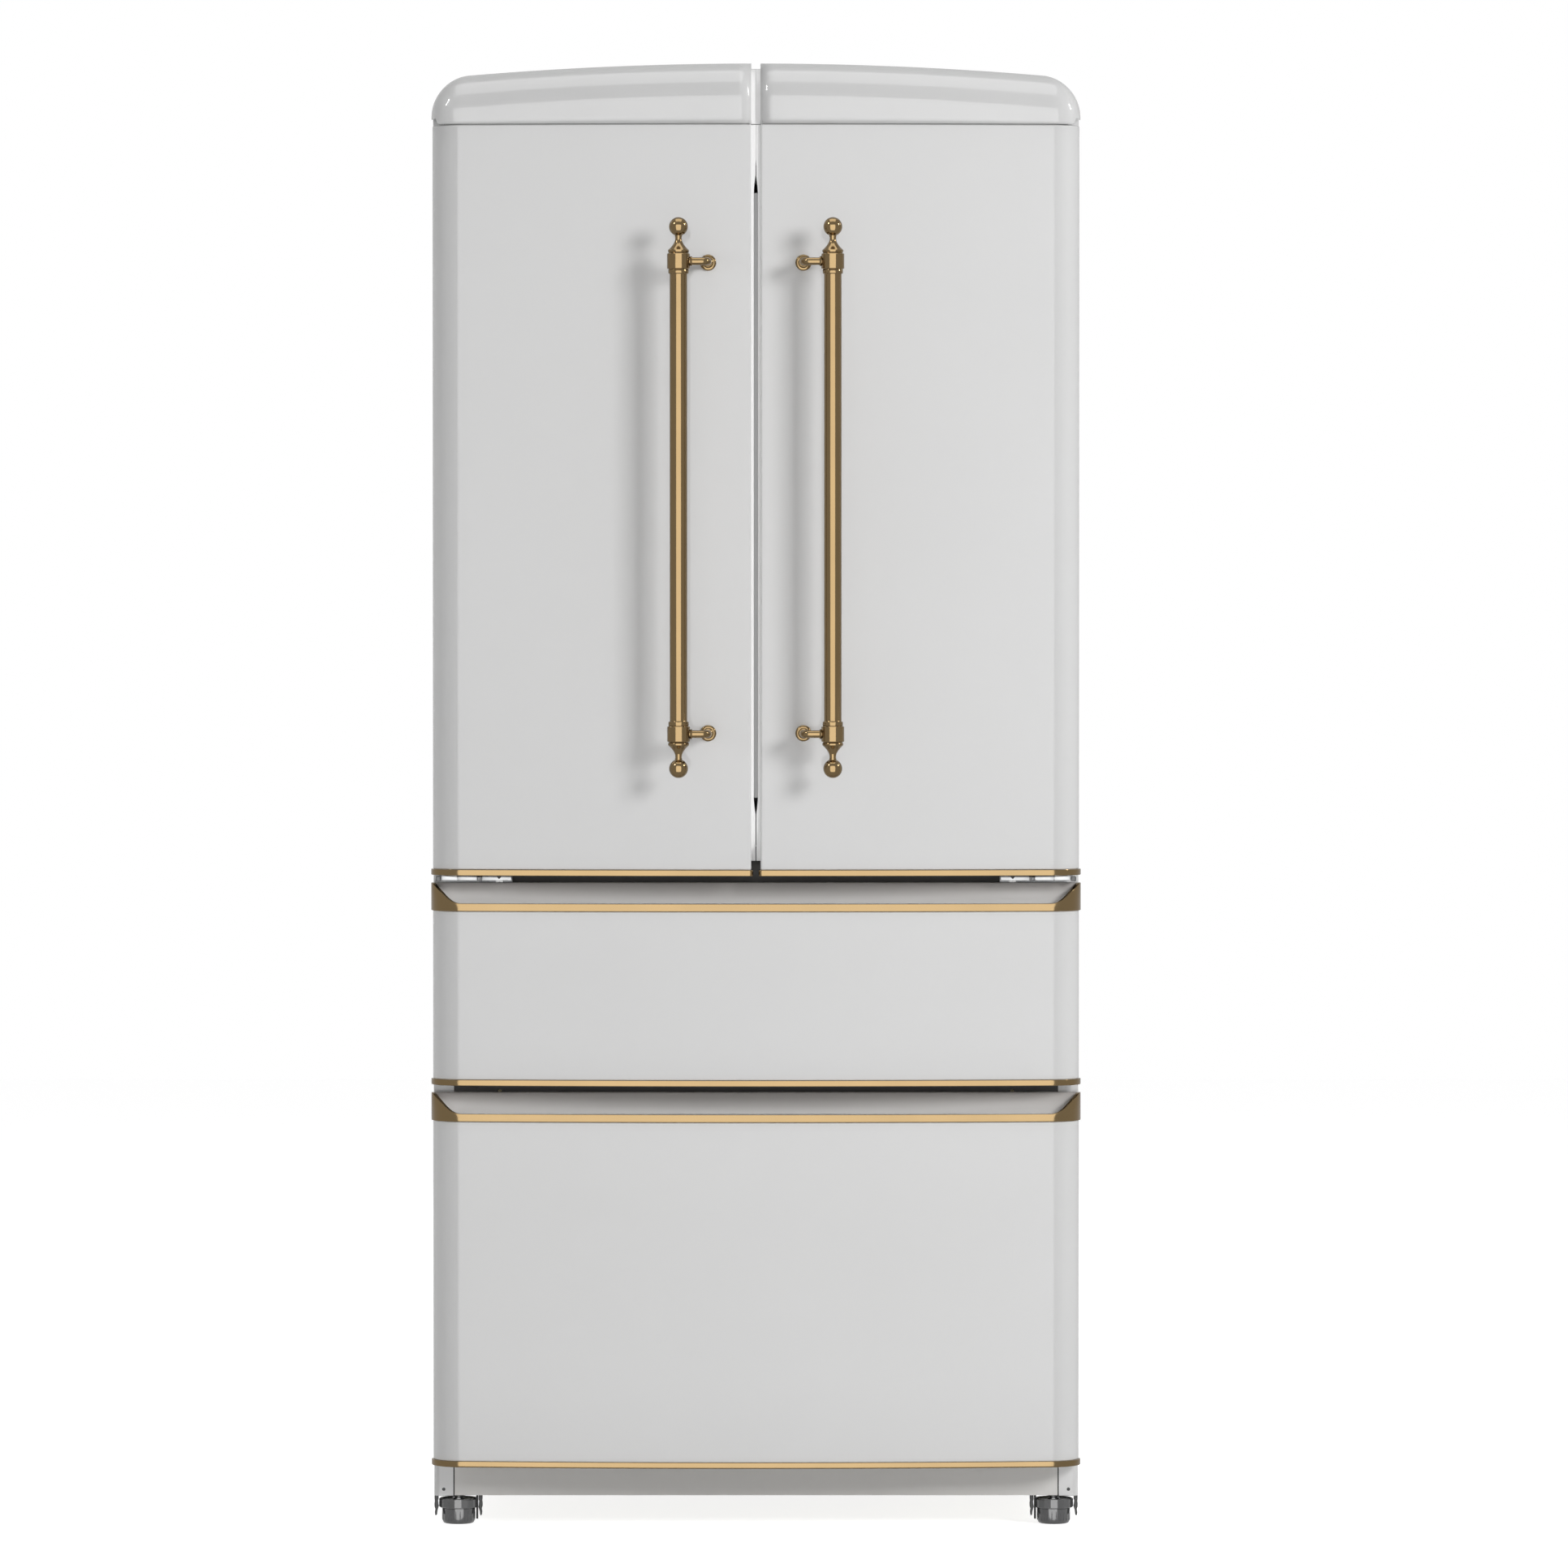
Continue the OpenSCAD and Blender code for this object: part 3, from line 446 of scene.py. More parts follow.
def crown_rim(sign):
    """The grey rim seen in the seam between the crown and the door; it stops short of the top hinge."""
    path = front_path(HALF_GAP, 2.0, FRONT_Y + 60)
    rows = []
    for (x, y), (nx, ny) in path:
        outer = (x - nx * 2.4, y - ny * 2.4)
        inner = (x - nx * 5.0, y - ny * 5.0)
        if outer[1] < FRONT_Y + 31:
            rows.append(flip([(*outer, SEAM_Z + 0.1), (*outer, CROWN_BASE + 2), (*inner, CROWN_BASE + 2),
                              (*inner, SEAM_Z + 0.1)], sign))
    return loft("crown_rim", rows, RIM)


def crown_back(sign):
    """The plate that closes the crown behind, raised where it passes over the top hinge."""
    rows = []
    for x in np.linspace(HALF_GAP, CROWN_X - 14, 20):
        z_low = SEAM_Z + 9.0 if x > 290 else CROWN_BASE
        z_high = top_at(x) - 2.5 - 26 * smooth(CROWN_X - 60, CROWN_X, x)
        rows.append(flip([(x, DOOR_Y - 2.6, z_low), (x, DOOR_Y - 2.6, z_high), (x, DOOR_Y - 0.2, z_high),
                          (x, DOOR_Y - 0.2, z_low)], sign))
    return loft("crown_back", rows, CROWN)


def crown_end(sign):
    """The plate that closes the crown beside the middle gap, under the rounded front edge."""
    ends = []
    for t in [math.pi / 2 * k / 8 for k in range(9)]:
        set_back = 50 * (1 - math.cos(t))
        ends.append((FRONT_Y + 3 + set_back, FRONT_Y + 1 + set_back, TOP_Z - 50 * (1 - math.sin(t)) - 0.4))
    ends += [(y, y, TOP_Z - 0.4) for y in (DOOR_Y - 4.0, DOOR_Y - 0.1)]
    x0, x1, z_low = HALF_GAP + 0.1, HALF_GAP + 2.4, CROWN_BASE + 0.5
    rows = [flip([(x0, y_low, z_low), (x0, y_high, z_high), (x1, y_high, z_high), (x1, y_low, z_low)], sign)
            for y_low, y_high, z_high in ends]
    return loft("crown_end", rows, CROWN)


def crown_strip(sign):
    """The white strip inside the gap, up the crown's front and back over its rounded edge."""
    x0, x1 = 0.15, HALF_GAP + 0.4
    y_front, thick = FRONT_Y + 7.4, 2.6
    points = [(y_front, z, y_front + thick, z) for z in np.linspace(SEAM_Z + 0.5, TOP_Z - 52, 4)]
    for t in [math.pi / 2 * k / 10 for k in range(1, 11)]:
        y, z = FRONT_Y + 50 - 42.6 * math.cos(t), TOP_Z - 50 + 43 * math.sin(t)
        points.append((y, z, y + thick * math.cos(t), z - thick * math.sin(t)))
    points.append((DOOR_Y - 4, TOP_Z - 7, DOOR_Y - 4, TOP_Z - 7 - thick))
    rows = [flip([(x0, y, z), (x1, y, z), (x1, y_in, z_in), (x0, y_in, z_in)], sign)
            for y, z, y_in, z_in in points]
    # Its lighter white and faint emission are painted light
    return loft("crown_strip", rows, EDGE)


def build_crown(side, sign):
    """The crown moulding: arched on top, with a rounded front edge that runs round the outer corner."""
    parts = [crown_shell(sign), crown_rim(sign), crown_back(sign), crown_end(sign), crown_strip(sign)]
    crown = join(side + "_crown_moulding", parts)
    place(crown, side + "_door", side + "_crown", slot="crown_white")


# ---- doors ----

# Height, distance from the middle and set-back of the edge strip's front corner: the slot between the two
# strips ends in points, and the strips curve back at their feet.
STRIP_PROFILE = [(826, 0.55, 26), (830, 0.55, 19), (836, 0.55, 12), (845, 0.55, 5), (857, 0.55, 1),
                 (870, 0.55, 0), (884, 0.55, 0), (893, 1.7, 0), (903, 2.55, 0), (1000, 2.6, 0),
                 (1280, 2.6, 0), (1550, 2.6, 0), (1650, 2.55, 0), (1661, 1.7, 0), (1671, 0.5, 0),
                 (1684, 0.45, 0), (1690, 0.12, 0), (SEAM_Z - 0.6, 0.12, 0)]


def build_edge_strip(sign):
    """The white strip on a door's inner edge, which leaves a slot in front of the grey mullion."""
    rows = []
    x1 = HALF_GAP + 0.6
    for z, x, back in STRIP_PROFILE:
        y0 = FRONT_Y + 5.0 + back
        rows.append(flip([(x, y0 + 4.4, z), (x, y0 + 1.0, z), (x + 0.3, y0 + 0.3, z), (x + 1.0, y0, z),
                          (x1, y0, z), (x1, y0 + 4.4, z)], sign))
    # Its lighter white and faint emission are painted light
    return loft("edge_strip", rows, EDGE)


def build_door(side, sign):
    body = side + "_door"
    path = front_path(HALF_GAP, 2.2, DOOR_Y - 2.6)
    skin = loft(side + "_door_skin", [flip(r, sign) for r in block_rows(path, PANEL_Z0, SEAM_Z)], PAINT)
    skin = join(side + "_door_skin", [skin, build_edge_strip(sign)])
    place(skin, body, side + "_panel", slot="painted_white")
    build_crown(side, sign)
    low, high = node_box(side + "_trim")
    path = front_path(HALF_GAP, 2.2, DOOR_Y - 4)[1:]
    rows = band_rows(path, lambda x: low[2], lambda x: high[2], TRIM_OUT, 1.2)
    trim = loft(side + "_door_trim", [flip(r, sign) for r in rows], BRASS_TRIM)
    place(trim, body, side + "_trim", slot="brass")
    build_handle(side, sign)


# ---- handles ----

BALL_R = 11.65  # ball at each end of a bar
BAR_R = 10.75
COLLAR_FROM_BALL = 42.3
POST_R = 4.7
POST_BEND = 9.0
POST_X = 58.7


def build_handle(side, sign):
    low, high = node_box(side + "_bar")
    cx, cy, mid_z = [(a + b) / 2 for a, b in zip(low, high)]
    ball_c = high[2] - mid_z - BALL_R
    collar = ball_c - COLLAR_FROM_BALL
    build_bar(side, (cx, cy), mid_z, ball_c, collar)
    build_posts(side, sign, (cx, cy), [mid_z - collar, mid_z + collar])


def build_bar(side, centre, mid_z, ball_c, collar):
    """The turned bar: a plain rod, a beaded collar over each post, a trumpet neck and a ball."""
    beads = [(BAR_R, -16.2), (11.2, -15.4), (12.1, -15.2), (12.5, -14.6), (12.5, -10.6), (12.1, -9.9),
             (12.3, -9.6), (13.5, -9.4), (14.0, -8.8), (14.0, 8.8), (13.5, 9.4), (12.2, 9.6), (11.9, 10.1),
             (12.3, 10.7), (12.8, 11.3), (12.9, 12.0), (12.9, 13.4), (12.5, 14.0)]
    half = [(BAR_R, 0.0)] + [(r, collar + h) for r, h in beads]
    half += [(4.0 + 8.3 * (1 - t) ** 1.75, collar + 14.2 + 13.0 * t) for t in [k / 9 for k in range(10)]]
    half += [(3.9, collar + 29.0), (4.3, collar + 30.6)]
    half += arc(0.0, ball_c, BALL_R, -67, 89.9, 18)
    profile = [(max(r, 0.02), mid_z - h) for r, h in reversed(half[1:])]
    profile += [(max(r, 0.02), mid_z + h) for r, h in half]
    bar = lathe(side + "_handle_bar", profile, (*centre, 0), BRASS, steps=64)
    place(bar, side + "_door", side + "_bar", slot="brass")


def build_posts(side, sign, centre, heights):
    """Two posts that leave the bar sideways, bend back to the door and end in a rosette."""
    cx, cy = centre
    door_face = node_box(side + "_posts")[1][1]
    rosette_x = POST_X * sign
    ring = [(4.7, -1.2), (5.8, -1.0), (6.2, 0.2), (5.8, 1.4), (4.7, 1.6)]
    rosette = [(0.02, -6.9), (5.0, -6.9), (5.6, -6.4), (6.4, -5.4), (6.8, -4.4), (8.6, -4.1), (9.5, -3.4),
               (10.0, -2.4), (10.0, -0.6), (9.7, 0.0), (0.02, 0.0)]
    parts = []
    for z in heights:
        path = [(cx - sign * 13.0, cy, z), (rosette_x + sign * POST_BEND, cy, z)]
        for a in [math.pi / 2 * k / 8 for k in range(1, 9)]:
            path.append((rosette_x + sign * POST_BEND * (1 - math.sin(a)),
                         cy + POST_BEND * (1 - math.cos(a)), z))
        path.append((rosette_x, FRONT_Y - 3, z))
        parts.append(tube("post", path, POST_R, BRASS))
        parts.append(lathe("post_ring", ring, (cx - sign * 15.2, cy, z), BRASS, axis="x", steps=32))
        parts.append(lathe("rosette", rosette, (rosette_x, door_face, z), BRASS, axis="y", steps=48))
    place(join(side + "_handle_posts", parts), side + "_door", side + "_posts", slot="brass")


for side, sign in (("left", -1), ("right", 1)):
    build_door(side, sign)

# ---- drawers ----

SWEEP = 36.0  # width of each corner where the brass lip climbs
SWEEP_BEND = 0.55  # share of that width that is curved; the rest is straight
GRIP_BACK = DOOR_Y - 16
COVE_R = 36.0
COVE_UP = 20.0  # height of the cove's centre line above the lip


def swept(x):
    """How far the brass lip has climbed at x: 0 in the middle, 1 at the corners."""
    t = (abs(x) - (HALF_W - SWEEP)) / (SWEEP - 1.0)
    if t <= 0:
        return 0.0
    t = min(t, 1.0)
    slope = 1.0 / (1.0 - SWEEP_BEND / 2)
    climb = slope * t * t / (2 * SWEEP_BEND) if t < SWEEP_BEND else slope * (t - SWEEP_BEND / 2)
    return min(climb, 1.0)


def refined(path):
    """The outline with three more points in each long step near the corners, for the swept lip."""
    fine = []
    for (p, p_out), (q, q_out) in zip(path, path[1:]):
        fine.append((p, p_out))
        if abs(p[0]) > 340 and abs(q[0] - p[0]) > 2.5:
            for f in (0.25, 0.5, 0.75):
                x = p[0] + (q[0] - p[0]) * f
                nx, ny = [a + (b - a) * f for a, b in zip(p_out, q_out)]
                n = math.hypot(nx, ny)
                fine.append(((x, bow_y(x)), (nx / n, ny / n)))
    return fine + [path[-1]]


def grip_row(x, lip, top, skin_top, underside):
    """A cross-section of the white channel: behind the lip, down the cove, up the back and round below."""
    y0 = min(bow_y(min(abs(x), 399.0)) + 2.4, GRIP_BACK - 6)
    z0 = lip + (top - lip) * swept(x)
    sink_by = 1 - smooth(345, 376, abs(x))
    rise_by = 1 - min(1.0, (z0 - lip) / (top - lip))
    y1 = min(max(FRONT_Y + 21.0, y0 + 4.0), GRIP_BACK - 5)
    row = [(x, y0, z0 - 0.2), (x, y1 - 1.5, z0 - 0.1), (x, y1 - 0.4, z0 - 0.1 - 0.6 * sink_by)]
    for y in [y1 + (GRIP_BACK - y1) * j / 13 for j in range(14)]:
        bowl = math.sqrt(max(0.0, COVE_R ** 2 - (GRIP_BACK - COVE_R - y) ** 2)) - COVE_UP
        z = z0 - 0.3 - sink_by * max(0.0, bowl) + rise_by * max(0.0, -bowl)
        row.append((x, y, min(z, top - 1.5)))
    z_inner = skin_top + 0.4
    y_inner = max(y1 - 0.8, y0 + 1.0)
    z_low = underside + 0.3 if abs(x) < 352 else z_inner
    row += [(x, GRIP_BACK, max(row[-1][2], min(lip + COVE_UP + 0.2, top - 1.3))), (x, GRIP_BACK, top - 1.2),
            (x, GRIP_BACK + 0.5, top - 0.3), (x, GRIP_BACK + 1.4, top - 0.05), (x, DOOR_Y - 0.4, top - 0.05),
            (x, DOOR_Y - 0.1, top - 0.6), (x, DOOR_Y - 0.1, z_inner), (x, GRIP_BACK + 1.0, z_inner),
            (x, GRIP_BACK + 1.0, z_low), (x, y1 + 0.5, z_low), (x, y_inner, z_low), (x, y_inner, z_inner),
            (x, y0, z_inner)]
    return [(px, py, min(pz, top - 0.05)) for px, py, pz in row]


def build_drawer(name):
    body = name + "_drawer"
    skin_low, skin_top = [corner[2] for corner in node_box(name + "_front")]
    band_low, top = [corner[2] for corner in node_box(name + "_trims")]
    underside = node_box(name + "_grip")[0][2]
    lip = skin_top + 9.6
    front = loft(name + "_drawer_skin", block_rows(full_path(DOOR_Y - 2.6), skin_low, skin_top, 1.0), PAINT)
    place(front, body, name + "_front", slot="painted_white")

    path = full_path(DOOR_Y - 4)
    lip_rows = band_rows(refined(path), lambda x: skin_top, lambda x: lip + (top - lip) * swept(x),
                         TRIM_OUT, 2.4)
    foot_rows = band_rows(path, lambda x: band_low, lambda x: skin_low, TRIM_OUT, 1.2)
    bands = [loft("band_top", lip_rows, BRASS_TRIM), loft("band_low", foot_rows, BRASS_TRIM)]
    place(join(name + "_drawer_trims", bands), body, name + "_trims", slot="brass")

    corner = [-397.4, -396.6, -394, -390, -385, -380, -375, -370, -366, -363, -361, -359.5, -358, -355,
              -350, -340]
    stations = corner + list(np.linspace(-320, 320, 17)) + [-x for x in reversed(corner)]
    rows = [grip_row(x, lip, top, skin_top, underside) for x in stations]
    # The grip's material carries painted shade, darker towards its top
    grip = loft(name + "_drawer_grip", rows, GRIP, angle=40.0)
    place(grip, body, name + "_grip", slot="liner_white")


build_drawer("upper")
build_drawer("lower")

# ---- feet ----


def box_centre(name):
    return [(a + b) / 2 for a, b in zip(*node_box(name))]


def build_foot(side):
    """A cup on the floor with fine ribs, in a many-sided ring, on its threaded stem."""
    cx, cy, _ = box_centre(side + "_foot")
    stem_top = node_box(side + "_foot")[1][2]
    cup = [(0.02, 0.0), (16.5, 0.0), (18.2, 0.5), (19.4, 1.7), (19.9, 3.4), (20.7, 18.3), (20.7, 19.0),
           (20.2, 19.3), (20.2, 20.4), (22.0, 20.4), (22.0, 29.0), (21.0, 30.2), (12.0, 29.6), (8.0, 29.8),
           (7.4, 31.9), (5.0, 32.0), (5.0, stem_top), (0.02, stem_top)]
    ring = [(21.4, 20.0), (23.6, 20.0), (24.3, 20.7), (24.3, 29.8), (23.9, 30.9), (22.9, 31.5), (21.9, 31.2),
            (21.4, 30.2)]
    rib = [(0.02, 4.0), (0.4, 4.4), (0.5, 11.0), (0.4, 17.0), (0.02, 17.6)]
    ribs, rib_at = 24, 20.2
    parts = [lathe("cup", cup, (cx, cy, 0), FOOT, steps=72),
             lathe("ring", ring, (cx, cy, 0), FOOT, steps=18, angle=12.0)]
    for a in [2 * math.pi * (k + 0.5) / ribs for k in range(ribs)]:
        foot_of_rib = (cx + rib_at * math.cos(a), cy + rib_at * math.sin(a), 0)
        parts.append(lathe("rib", rib, foot_of_rib, FOOT, steps=8))
    place(join(side + "_foot_cup", parts), side + "_levelling_foot", side + "_foot", slot="dark_plastic")


for side in ("left", "right"):
    build_foot(side)

# ---- base frame ----

BASE_LO, BASE_HI = node_box("base_frame")
BASE_FRONT, BASE_BACK = BASE_LO[1], BASE_HI[1]
BASE_FLOOR = BASE_LO[2] + 25
BASE_TOP = BASE_HI[2]
BASE_CORNER = 8.0


def extrude_y(name, outline, y0, y1, mat):
    """A block with the given outline in x and z between two depths."""
    return loft(name, [[(x, y, z) for x, z in outline] for y in (y0, y0 + 0.4, y1 - 0.4, y1)], mat)


def mirrored(parts, name, body, *nodes, slot=None):
    """Joins the parts made for the right side with their copies on the left."""
    copies = []
    for part in parts:
        twin = part.copy()
        twin.data = part.data.copy()
        bpy.context.scene.collection.objects.link(twin)
        for v in twin.data.vertices:
            v.co.x = -v.co.x
        twin.data.flip_normals()
        copies.append(twin)
    return place(join(name, parts + copies), body, *nodes, slot=slot)


def base_wall():
    """The folded sheet that runs round the front corner and back along the side."""
    arc_x, arc_y = HALF_W - BASE_CORNER, BASE_FRONT + BASE_CORNER
    outline = [((x, BASE_FRONT), (0.0, -1.0)) for x in (376.0, 384.0, arc_x)]
    for t in [math.pi / 2 * k / 8 for k in range(1, 9)]:
        outline.append(((arc_x + BASE_CORNER * math.sin(t), arc_y - BASE_CORNER * math.cos(t)),
                        (math.sin(t), -math.cos(t))))
    outline += [((HALF_W, y), (1.0, 0.0)) for y in (BASE_FRONT + 60, 0.0, BASE_BACK)]
    thick, z_top = 2.4, BASE_TOP - 0.2
    rows = [[(x, y, BASE_FLOOR + 0.8), (x, y, z_top), (x - nx * thick, y - ny * thick, z_top),
             (x - nx * thick, y - ny * thick, BASE_FLOOR), (x - nx * 0.6, y - ny * 0.6, BASE_FLOOR)]
            for (x, y), (nx, ny) in outline]
    return loft("base_wall", rows, PAINT)


def build_side_walls():
    z_in = BASE_TOP - 0.3
    hole = [(0.02, 0.0), (1.9, 0.0), (2.1, 0.12), (2.1, 0.5), (0.02, 0.5)]
    parts = [
        base_wall(),
        rounded_box("base_inner", (376, BASE_FRONT + 5, BASE_FLOOR), (379, BASE_BACK, z_in), PAINT, 0.6, 2),
        rounded_box("base_lid", (377, BASE_FRONT + 12, BASE_TOP - 3.2), (398, BASE_BACK - 1, BASE_TOP - 0.2),
                    PAINT, 0.5, 2),
        rounded_box("base_end", (379, BASE_BACK - 5, BASE_FLOOR), (397.5, BASE_BACK, z_in), PAINT, 0.6, 2),
        # The screw hole is a thin black disc on the wall: painted shade for the hole's depth
        lathe("side_hole", hole, (388, BASE_FRONT - 0.25, 43.5), BLACK, axis="y", steps=20),
    ]
    mirrored(parts, "base_side_walls", "cabinet", "base_frame", slot="painted_white")


def build_foot_brackets():
    """Over each front foot: a strap, a threaded boss, a tab, and an ear that hangs on either side."""
    fx, fy, _ = box_centre("right_foot")
    boss = [(5.2, 0.0), (12.0, 0.0), (13.0, 1.0), (13.0, 34.0), (12.0, 35.5), (5.2, 35.5)]
    ear = [(25.0, 36), (24.9, 30), (25.6, 27.5), (25.2, 24), (24.7, 21), (25.4, 18.5), (26.4, 15), (26.8, 11),
           (27.8, 9.9), (29.0, 10.6), (29.4, 14), (28.8, 18), (29.8, 21), (29.9, 25), (29.5, 28), (29.8, 31),
           (29.8, 36)]
    parts = [
        rounded_box("foot_strap", (341, fy - 8, BASE_FLOOR), (398, fy + 12, BASE_FLOOR + 6), DARK, 1.6, 3),
        lathe("foot_boss", boss, (fx, fy, BASE_FLOOR), DARK, steps=48),
    ]
    ears = [extrude_y("ear", [(fx + way * x, z) for x, z in ear], fy - 7, fy + 3, BLACK) for way in (1, -1)]
    tab = rounded_box("foot_tab", (345.6, fy - 5, 5.5), (348.2, fy + 2, 36), BLACK, 0.6, 2)
    mirrored(parts + [tab] + ears, "foot_brackets", "cabinet", slot="dark_plastic")


def build_roller_brackets():
    """Two cheeks with an arched foot beside each rear roller, and the axle through them."""
    rx, ry, rz = box_centre("right_roller")
    z_top = BASE_TOP - 2.2
    turns = [math.pi * (k / 8 - 0.5) for k in range(9)]
    arch = [(ry + 16 * math.sin(t), 22 - 12 * math.cos(t)) for t in turns]
    loop = [(ry - 16, z_top)] + arch + [(ry + 16, z_top)]
    parts = [loft("roller_cheek", [[(x0 + dx, y, z) for y, z in loop] for dx in (0, 0.3, 1.7, 2)], BLACK)
             for x0 in (rx - 16, rx + 14)]
    axle = [(0.02, -17), (3.4, -17), (4.0, -16.4), (4.0, 16.4), (3.4, 17), (0.02, 17)]
    parts.append(lathe("roller_axle", axle, (rx, ry, rz), STEEL, axis="x", steps=32))
    mirrored(parts, "roller_brackets", "cabinet", slot="dark_steel")


def build_base_pans():
    """The dark plates seen under the cabinet, and the ends of the dark rail between the drawers."""
    face = BASE_FRONT + 5
    front = rounded_box("front_plate", (-336, face + 2, BASE_FLOOR + 2), (336, face + 5, BASE_TOP),
                        BLACK, 0.8, 2)
    rear = rounded_box("rear_pan", (-375.8, 140, BASE_TOP - 2), (375.8, BASE_BACK, BASE_TOP), BLACK, 0.6, 2)
    place(join("base_pans", [front, rear]), "cabinet", slot="dark_steel")
    z0, z1 = node_box("lower_front")[1][2] + 0.8, node_box("upper_trims")[0][2] - 0.5
    rail = rounded_box("rail_end", (346.5, face - 1.0, z0), (375, face - 0.1, z1), RAIL, 0.3, 2)
    mirrored([rail], "rail_ends", "cabinet", slot="dark_steel")


# ---- middle hinges ----


def build_middle_hinges():
    low, high = node_box("middle_hinges")
    rear = high[1]
    door_low = node_box("right_trim")[0][2]
    z0, z1 = door_low - 6.0, door_low - 0.7
    hinge_x, hinge_y = 372.0, FRONT_Y + 33.0
    lip_y = hinge_y - 12
    pin = [(0.02, z0), (8.6, z0), (9.0, z0 + 0.5), (9.0, z0 + 3.6), (7.0, z0 + 4.4), (7.0, door_low + 7.0),
           (4.0, door_low + 7.2), (4.0, high[2] - 0.6), (3.4, high[2]), (0.02, high[2])]
    plates = [
        rounded_box("plate_inner", (302, lip_y, z0), (338, lip_y + 2.4, z1), PLATE, 0.7, 2),
        rounded_box("plate_outer", (344.5, lip_y + 1, z0), (367.6, lip_y + 3.4, z1), PLATE, 0.7, 2),
        rounded_box("plate_end", (368.6, lip_y + 1, z0), (388, lip_y + 3.4, z1), PLATE, 0.7, 2),
        rounded_box("web", (302, lip_y + 2, z0 + 0.6), (386, rear - 2, z0 + 4.4), PLATE, 0.6, 2),
        rounded_box("bracket", (302, rear - 3, low[2]), (386, rear, z0 + 4.4), PLATE, 0.8, 2),
        lathe("hinge_boss", pin, (hinge_x, hinge_y, 0), STEEL, steps=40),
    ]
    mirrored(plates, "middle_hinge_plates", "cabinet", "middle_hinges", slot="hinge_steel")
    countersink = [(0.02, z1 - 3.4), (0.8, z1 - 3.2), (3.2, z1 - 0.4), (3.2, z1), (0.02, z1)]
    stops = [
        rounded_box("stop_inner", (338.2, lip_y - 1, z0 - 0.8), (341.6, lip_y + 8, z1), DARK, 0.6, 2),
        rounded_box("stop_mid", (342.6, lip_y, z0 - 0.4), (344.2, lip_y + 8, z1), DARK, 0.5, 2),
        rounded_box("stop_outer", (389.4, lip_y + 6, z0 - 1.2), (395.6, lip_y + 30, z1 - 0.6), DARK, 0.8, 2),
        lathe("countersink", countersink, (317, lip_y - 0.2, 0), DARK, steps=24),
    ]
    mirrored(stops, "middle_hinge_stops", "cabinet", slot="dark_plastic")


build_side_walls()
build_foot_brackets()
build_roller_brackets()
build_base_pans()
build_middle_hinges()

# The grey lip of the left door's gasket, seen in the gap between the doors; its faint white emission is
# painted light
gasket_lip = rounded_box("gasket_lip", (-HALF_GAP + 0.5, FRONT_Y + 26.8, 904), (2.4, FRONT_Y + 27.9, 1650),
                         EDGE_GREY, 0.4, 2)
place(gasket_lip, "left_door", slot="gasket_rubber")

# ---- finishes of the CAD pieces that stay ----

FINISH = {
    PAINT: ["cabinet_shell"],
    KICK: ["kick_plate"],
    CROWN: ["top_cap"],
    LINER: ["fridge_liner", "pantry_liner", "freezer_liner", "shelf_frames", "mullion_guide",
            "left_inner_pan", "right_inner_pan", "upper_inner_pan", "lower_inner_pan"],
    LED: ["light"],
    FOAM: ["insulation"],
    RAIL: ["front_rails"],
    BLACK: ["compressor", "condenser"],
    GALV: ["rear_panel", "machine_cover", "fan_motor", "outer_rails", "upper_slides", "lower_slides"],
    STEEL: ["top_hinges", "screws"],
    CLEAR: ["crispers", "left_bins", "right_bins", "upper_bin", "lower_bin"],
    GASKET: ["left_gasket", "right_gasket", "upper_gasket", "lower_gasket"],
    DARK: ["power_inlet", "left_roller", "right_roller", "fan"],
    MULLION: ["mullion"],
    GLASS: ["shelf_glass"],
}
for mat, names in FINISH.items():
    for name in names:
        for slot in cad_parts[name].material_slots:
            slot.material = mat

# ---- floor ----

FLOOR_LIFT = 0.84  # emission that takes the floor up to the white of the surroundings


def build_floor():
    mat = surface("floor_pale", (0.86, 0.86, 0.86), 0.6, tint=0.01, spec=0.1)
    tree = mat.node_tree
    shader = tree.nodes["Principled BSDF"]
    shader.inputs["Emission Color"].default_value = (1.0, 1.0, 1.0, 1.0)
    rays = tree.nodes.new("ShaderNodeLightPath")
    lift = tree.nodes.new("ShaderNodeMath")
    lift.operation = "MULTIPLY"
    lift.inputs[1].default_value = FLOOR_LIFT
    tree.links.new(rays.outputs["Is Camera Ray"], lift.inputs[0])
    tree.links.new(lift.outputs["Value"], shader.inputs["Emission Strength"])
    corners = [(-9000, -12000, -0.4), (9000, -12000, -0.4), (9000, 9000, -0.4), (-9000, 9000, -0.4)]
    floor = finish_mesh("floor", corners, [(0, 1, 2, 3)], mat)
    floor.visible_glossy = False


build_floor()

# ---- light ----

WORLD = {"diffuse": 0.09, "glossy": 0.58, "camera": 1.0}


def softbox(name, location, target, size, radiance, diffuse=True, glossy=True):
    """An area light of a given brightness, whatever its size, that can be kept out of one kind of ray."""
    data = bpy.data.lights.new(name, "AREA")
    data.shape = "RECTANGLE"
    data.size, data.size_y = size
    data.energy = radiance * math.pi * size[0] * size[1]
    obj = bpy.data.objects.new(name, data)
    obj.location = location
    aim = Vector(target) - Vector(location)
    obj.rotation_euler = aim.to_track_quat("-Z", "Y").to_euler()
    obj.visible_diffuse = diffuse
    obj.visible_glossy = glossy
    obj.visible_camera = False
    bpy.context.scene.collection.objects.link(obj)


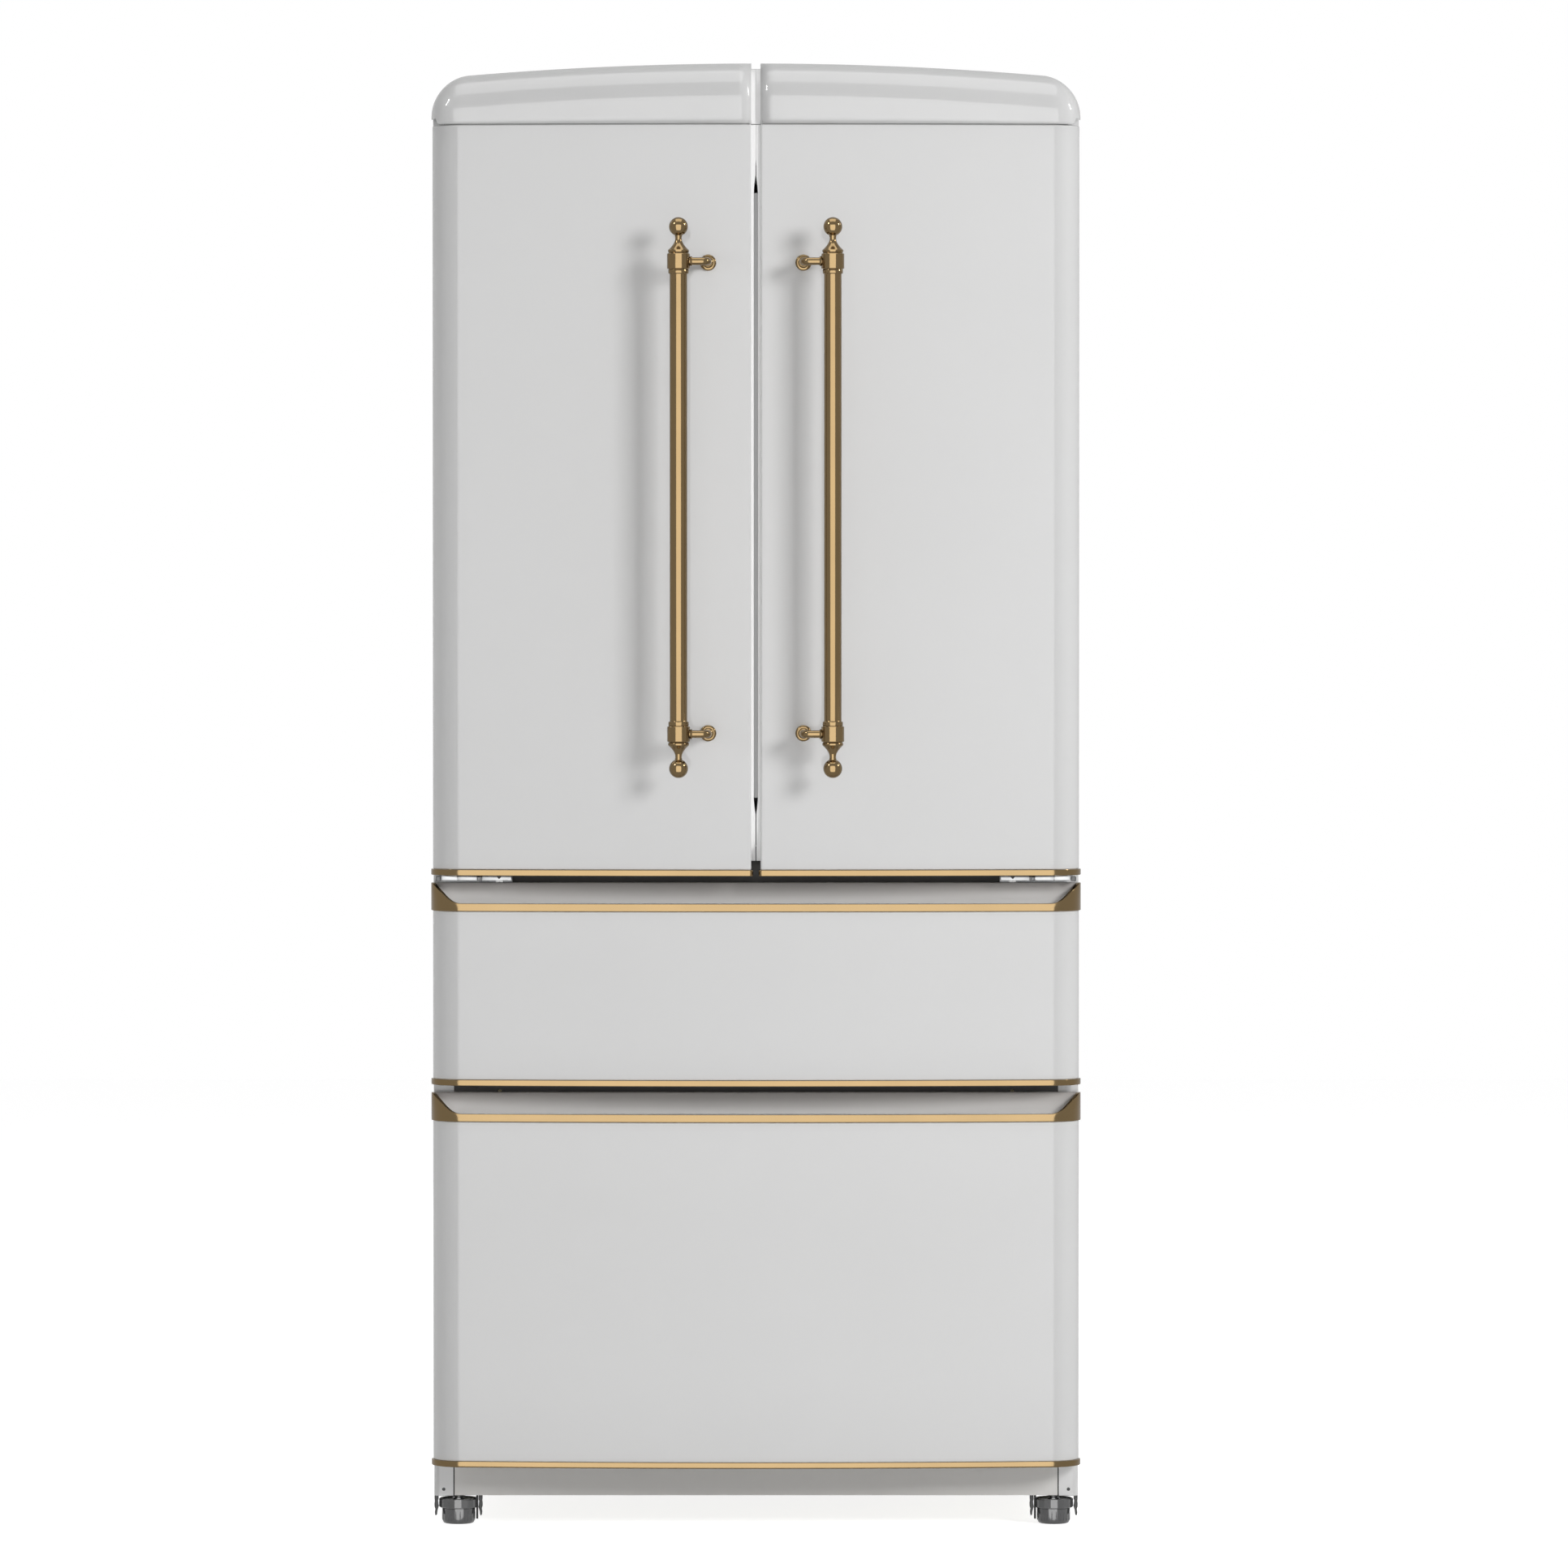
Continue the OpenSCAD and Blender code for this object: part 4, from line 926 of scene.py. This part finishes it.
def build_world():
    """White surroundings, with a strength of their own for each kind of ray."""
    world = bpy.data.worlds.new("studio")
    bpy.context.scene.world = world
    world.use_nodes = True
    tree = world.node_tree
    tree.nodes.clear()
    rays = tree.nodes.new("ShaderNodeLightPath")

    def sky(strength):
        node = tree.nodes.new("ShaderNodeBackground")
        node.inputs["Color"].default_value = (1.0, 1.0, 1.0, 1.0)
        node.inputs["Strength"].default_value = strength
        return node.outputs["Background"]

    def choose(ray, otherwise, chosen):
        node = tree.nodes.new("ShaderNodeMixShader")
        tree.links.new(rays.outputs[ray], node.inputs["Fac"])
        tree.links.new(otherwise, node.inputs[1])
        tree.links.new(chosen, node.inputs[2])
        return node.outputs["Shader"]

    by_gloss = choose("Is Glossy Ray", sky(WORLD["diffuse"]), sky(WORLD["glossy"]))
    by_camera = choose("Is Camera Ray", by_gloss, sky(WORLD["camera"]))
    tree.links.new(by_camera, tree.nodes.new("ShaderNodeOutputWorld").inputs["Surface"])


softbox("front", (0.0, -3.0, 1.15), (0.0, -0.3, 1.15), (3.0, 2.5), 0.06, glossy=False)
softbox("front_gloss", (0.0, -2.8, 0.75), (0.0, -0.3, 0.75), (3.0, 3.7), 2.2, diffuse=False)
softbox("key", (3.9, -5.0, 3.0), (0.0, -0.3, 1.0), (1.7, 1.7), 21.0, glossy=False)
softbox("left_fill", (-3.3, -0.9, 1.3), (-0.3, -0.2, 1.1), (0.5, 2.6), 7.4, glossy=False)
softbox("right_fill", (3.3, -0.9, 1.3), (0.3, -0.2, 1.1), (0.5, 2.6), 5.0, glossy=False)
softbox("rim_right", (3.41, -0.70, 3.0), (0.38, -0.25, 1.75), (0.30, 0.8), 30.0, diffuse=False)
softbox("rim_left", (-2.64, -1.69, 3.7), (-0.38, -0.25, 1.75), (0.25, 0.9), 32.0, diffuse=False)
softbox("back_fill", (0.8, 4.5, 2.6), (0.0, 0.3, 0.9), (2.6, 2.2), 2.2, glossy=False)
softbox("top", (0.0, -0.6, 4.6), (0.0, 0.0, 0.0), (3.0, 2.4), 1.7)
build_world()

# ---- camera ----

CAMERA_DISTANCE = 10.7  # metres in front of the doors
CAMERA_HEIGHT = 1.2
CAMERA_SIDE = 0.0347
CAMERA_PITCH = 1.18  # degrees below level
FOCAL_LENGTH = 199.5  # on a 36 mm sensor
FRAMING_SHIFT = -0.03


def build_camera():
    data = bpy.data.cameras.new("camera")
    data.sensor_width = 36.0
    data.lens = FOCAL_LENGTH
    data.shift_y = FRAMING_SHIFT
    data.clip_end = 60.0
    camera = bpy.data.objects.new("camera", data)
    camera.location = (CAMERA_SIDE, FRONT_Y * MM - CAMERA_DISTANCE, CAMERA_HEIGHT)
    camera.rotation_euler = (math.radians(90 - CAMERA_PITCH), 0, 0)
    bpy.context.scene.collection.objects.link(camera)
    bpy.context.scene.camera = camera


build_camera()
bpy.context.scene.view_settings.view_transform = "Standard"
bpy.context.scene.view_settings.look = "None"
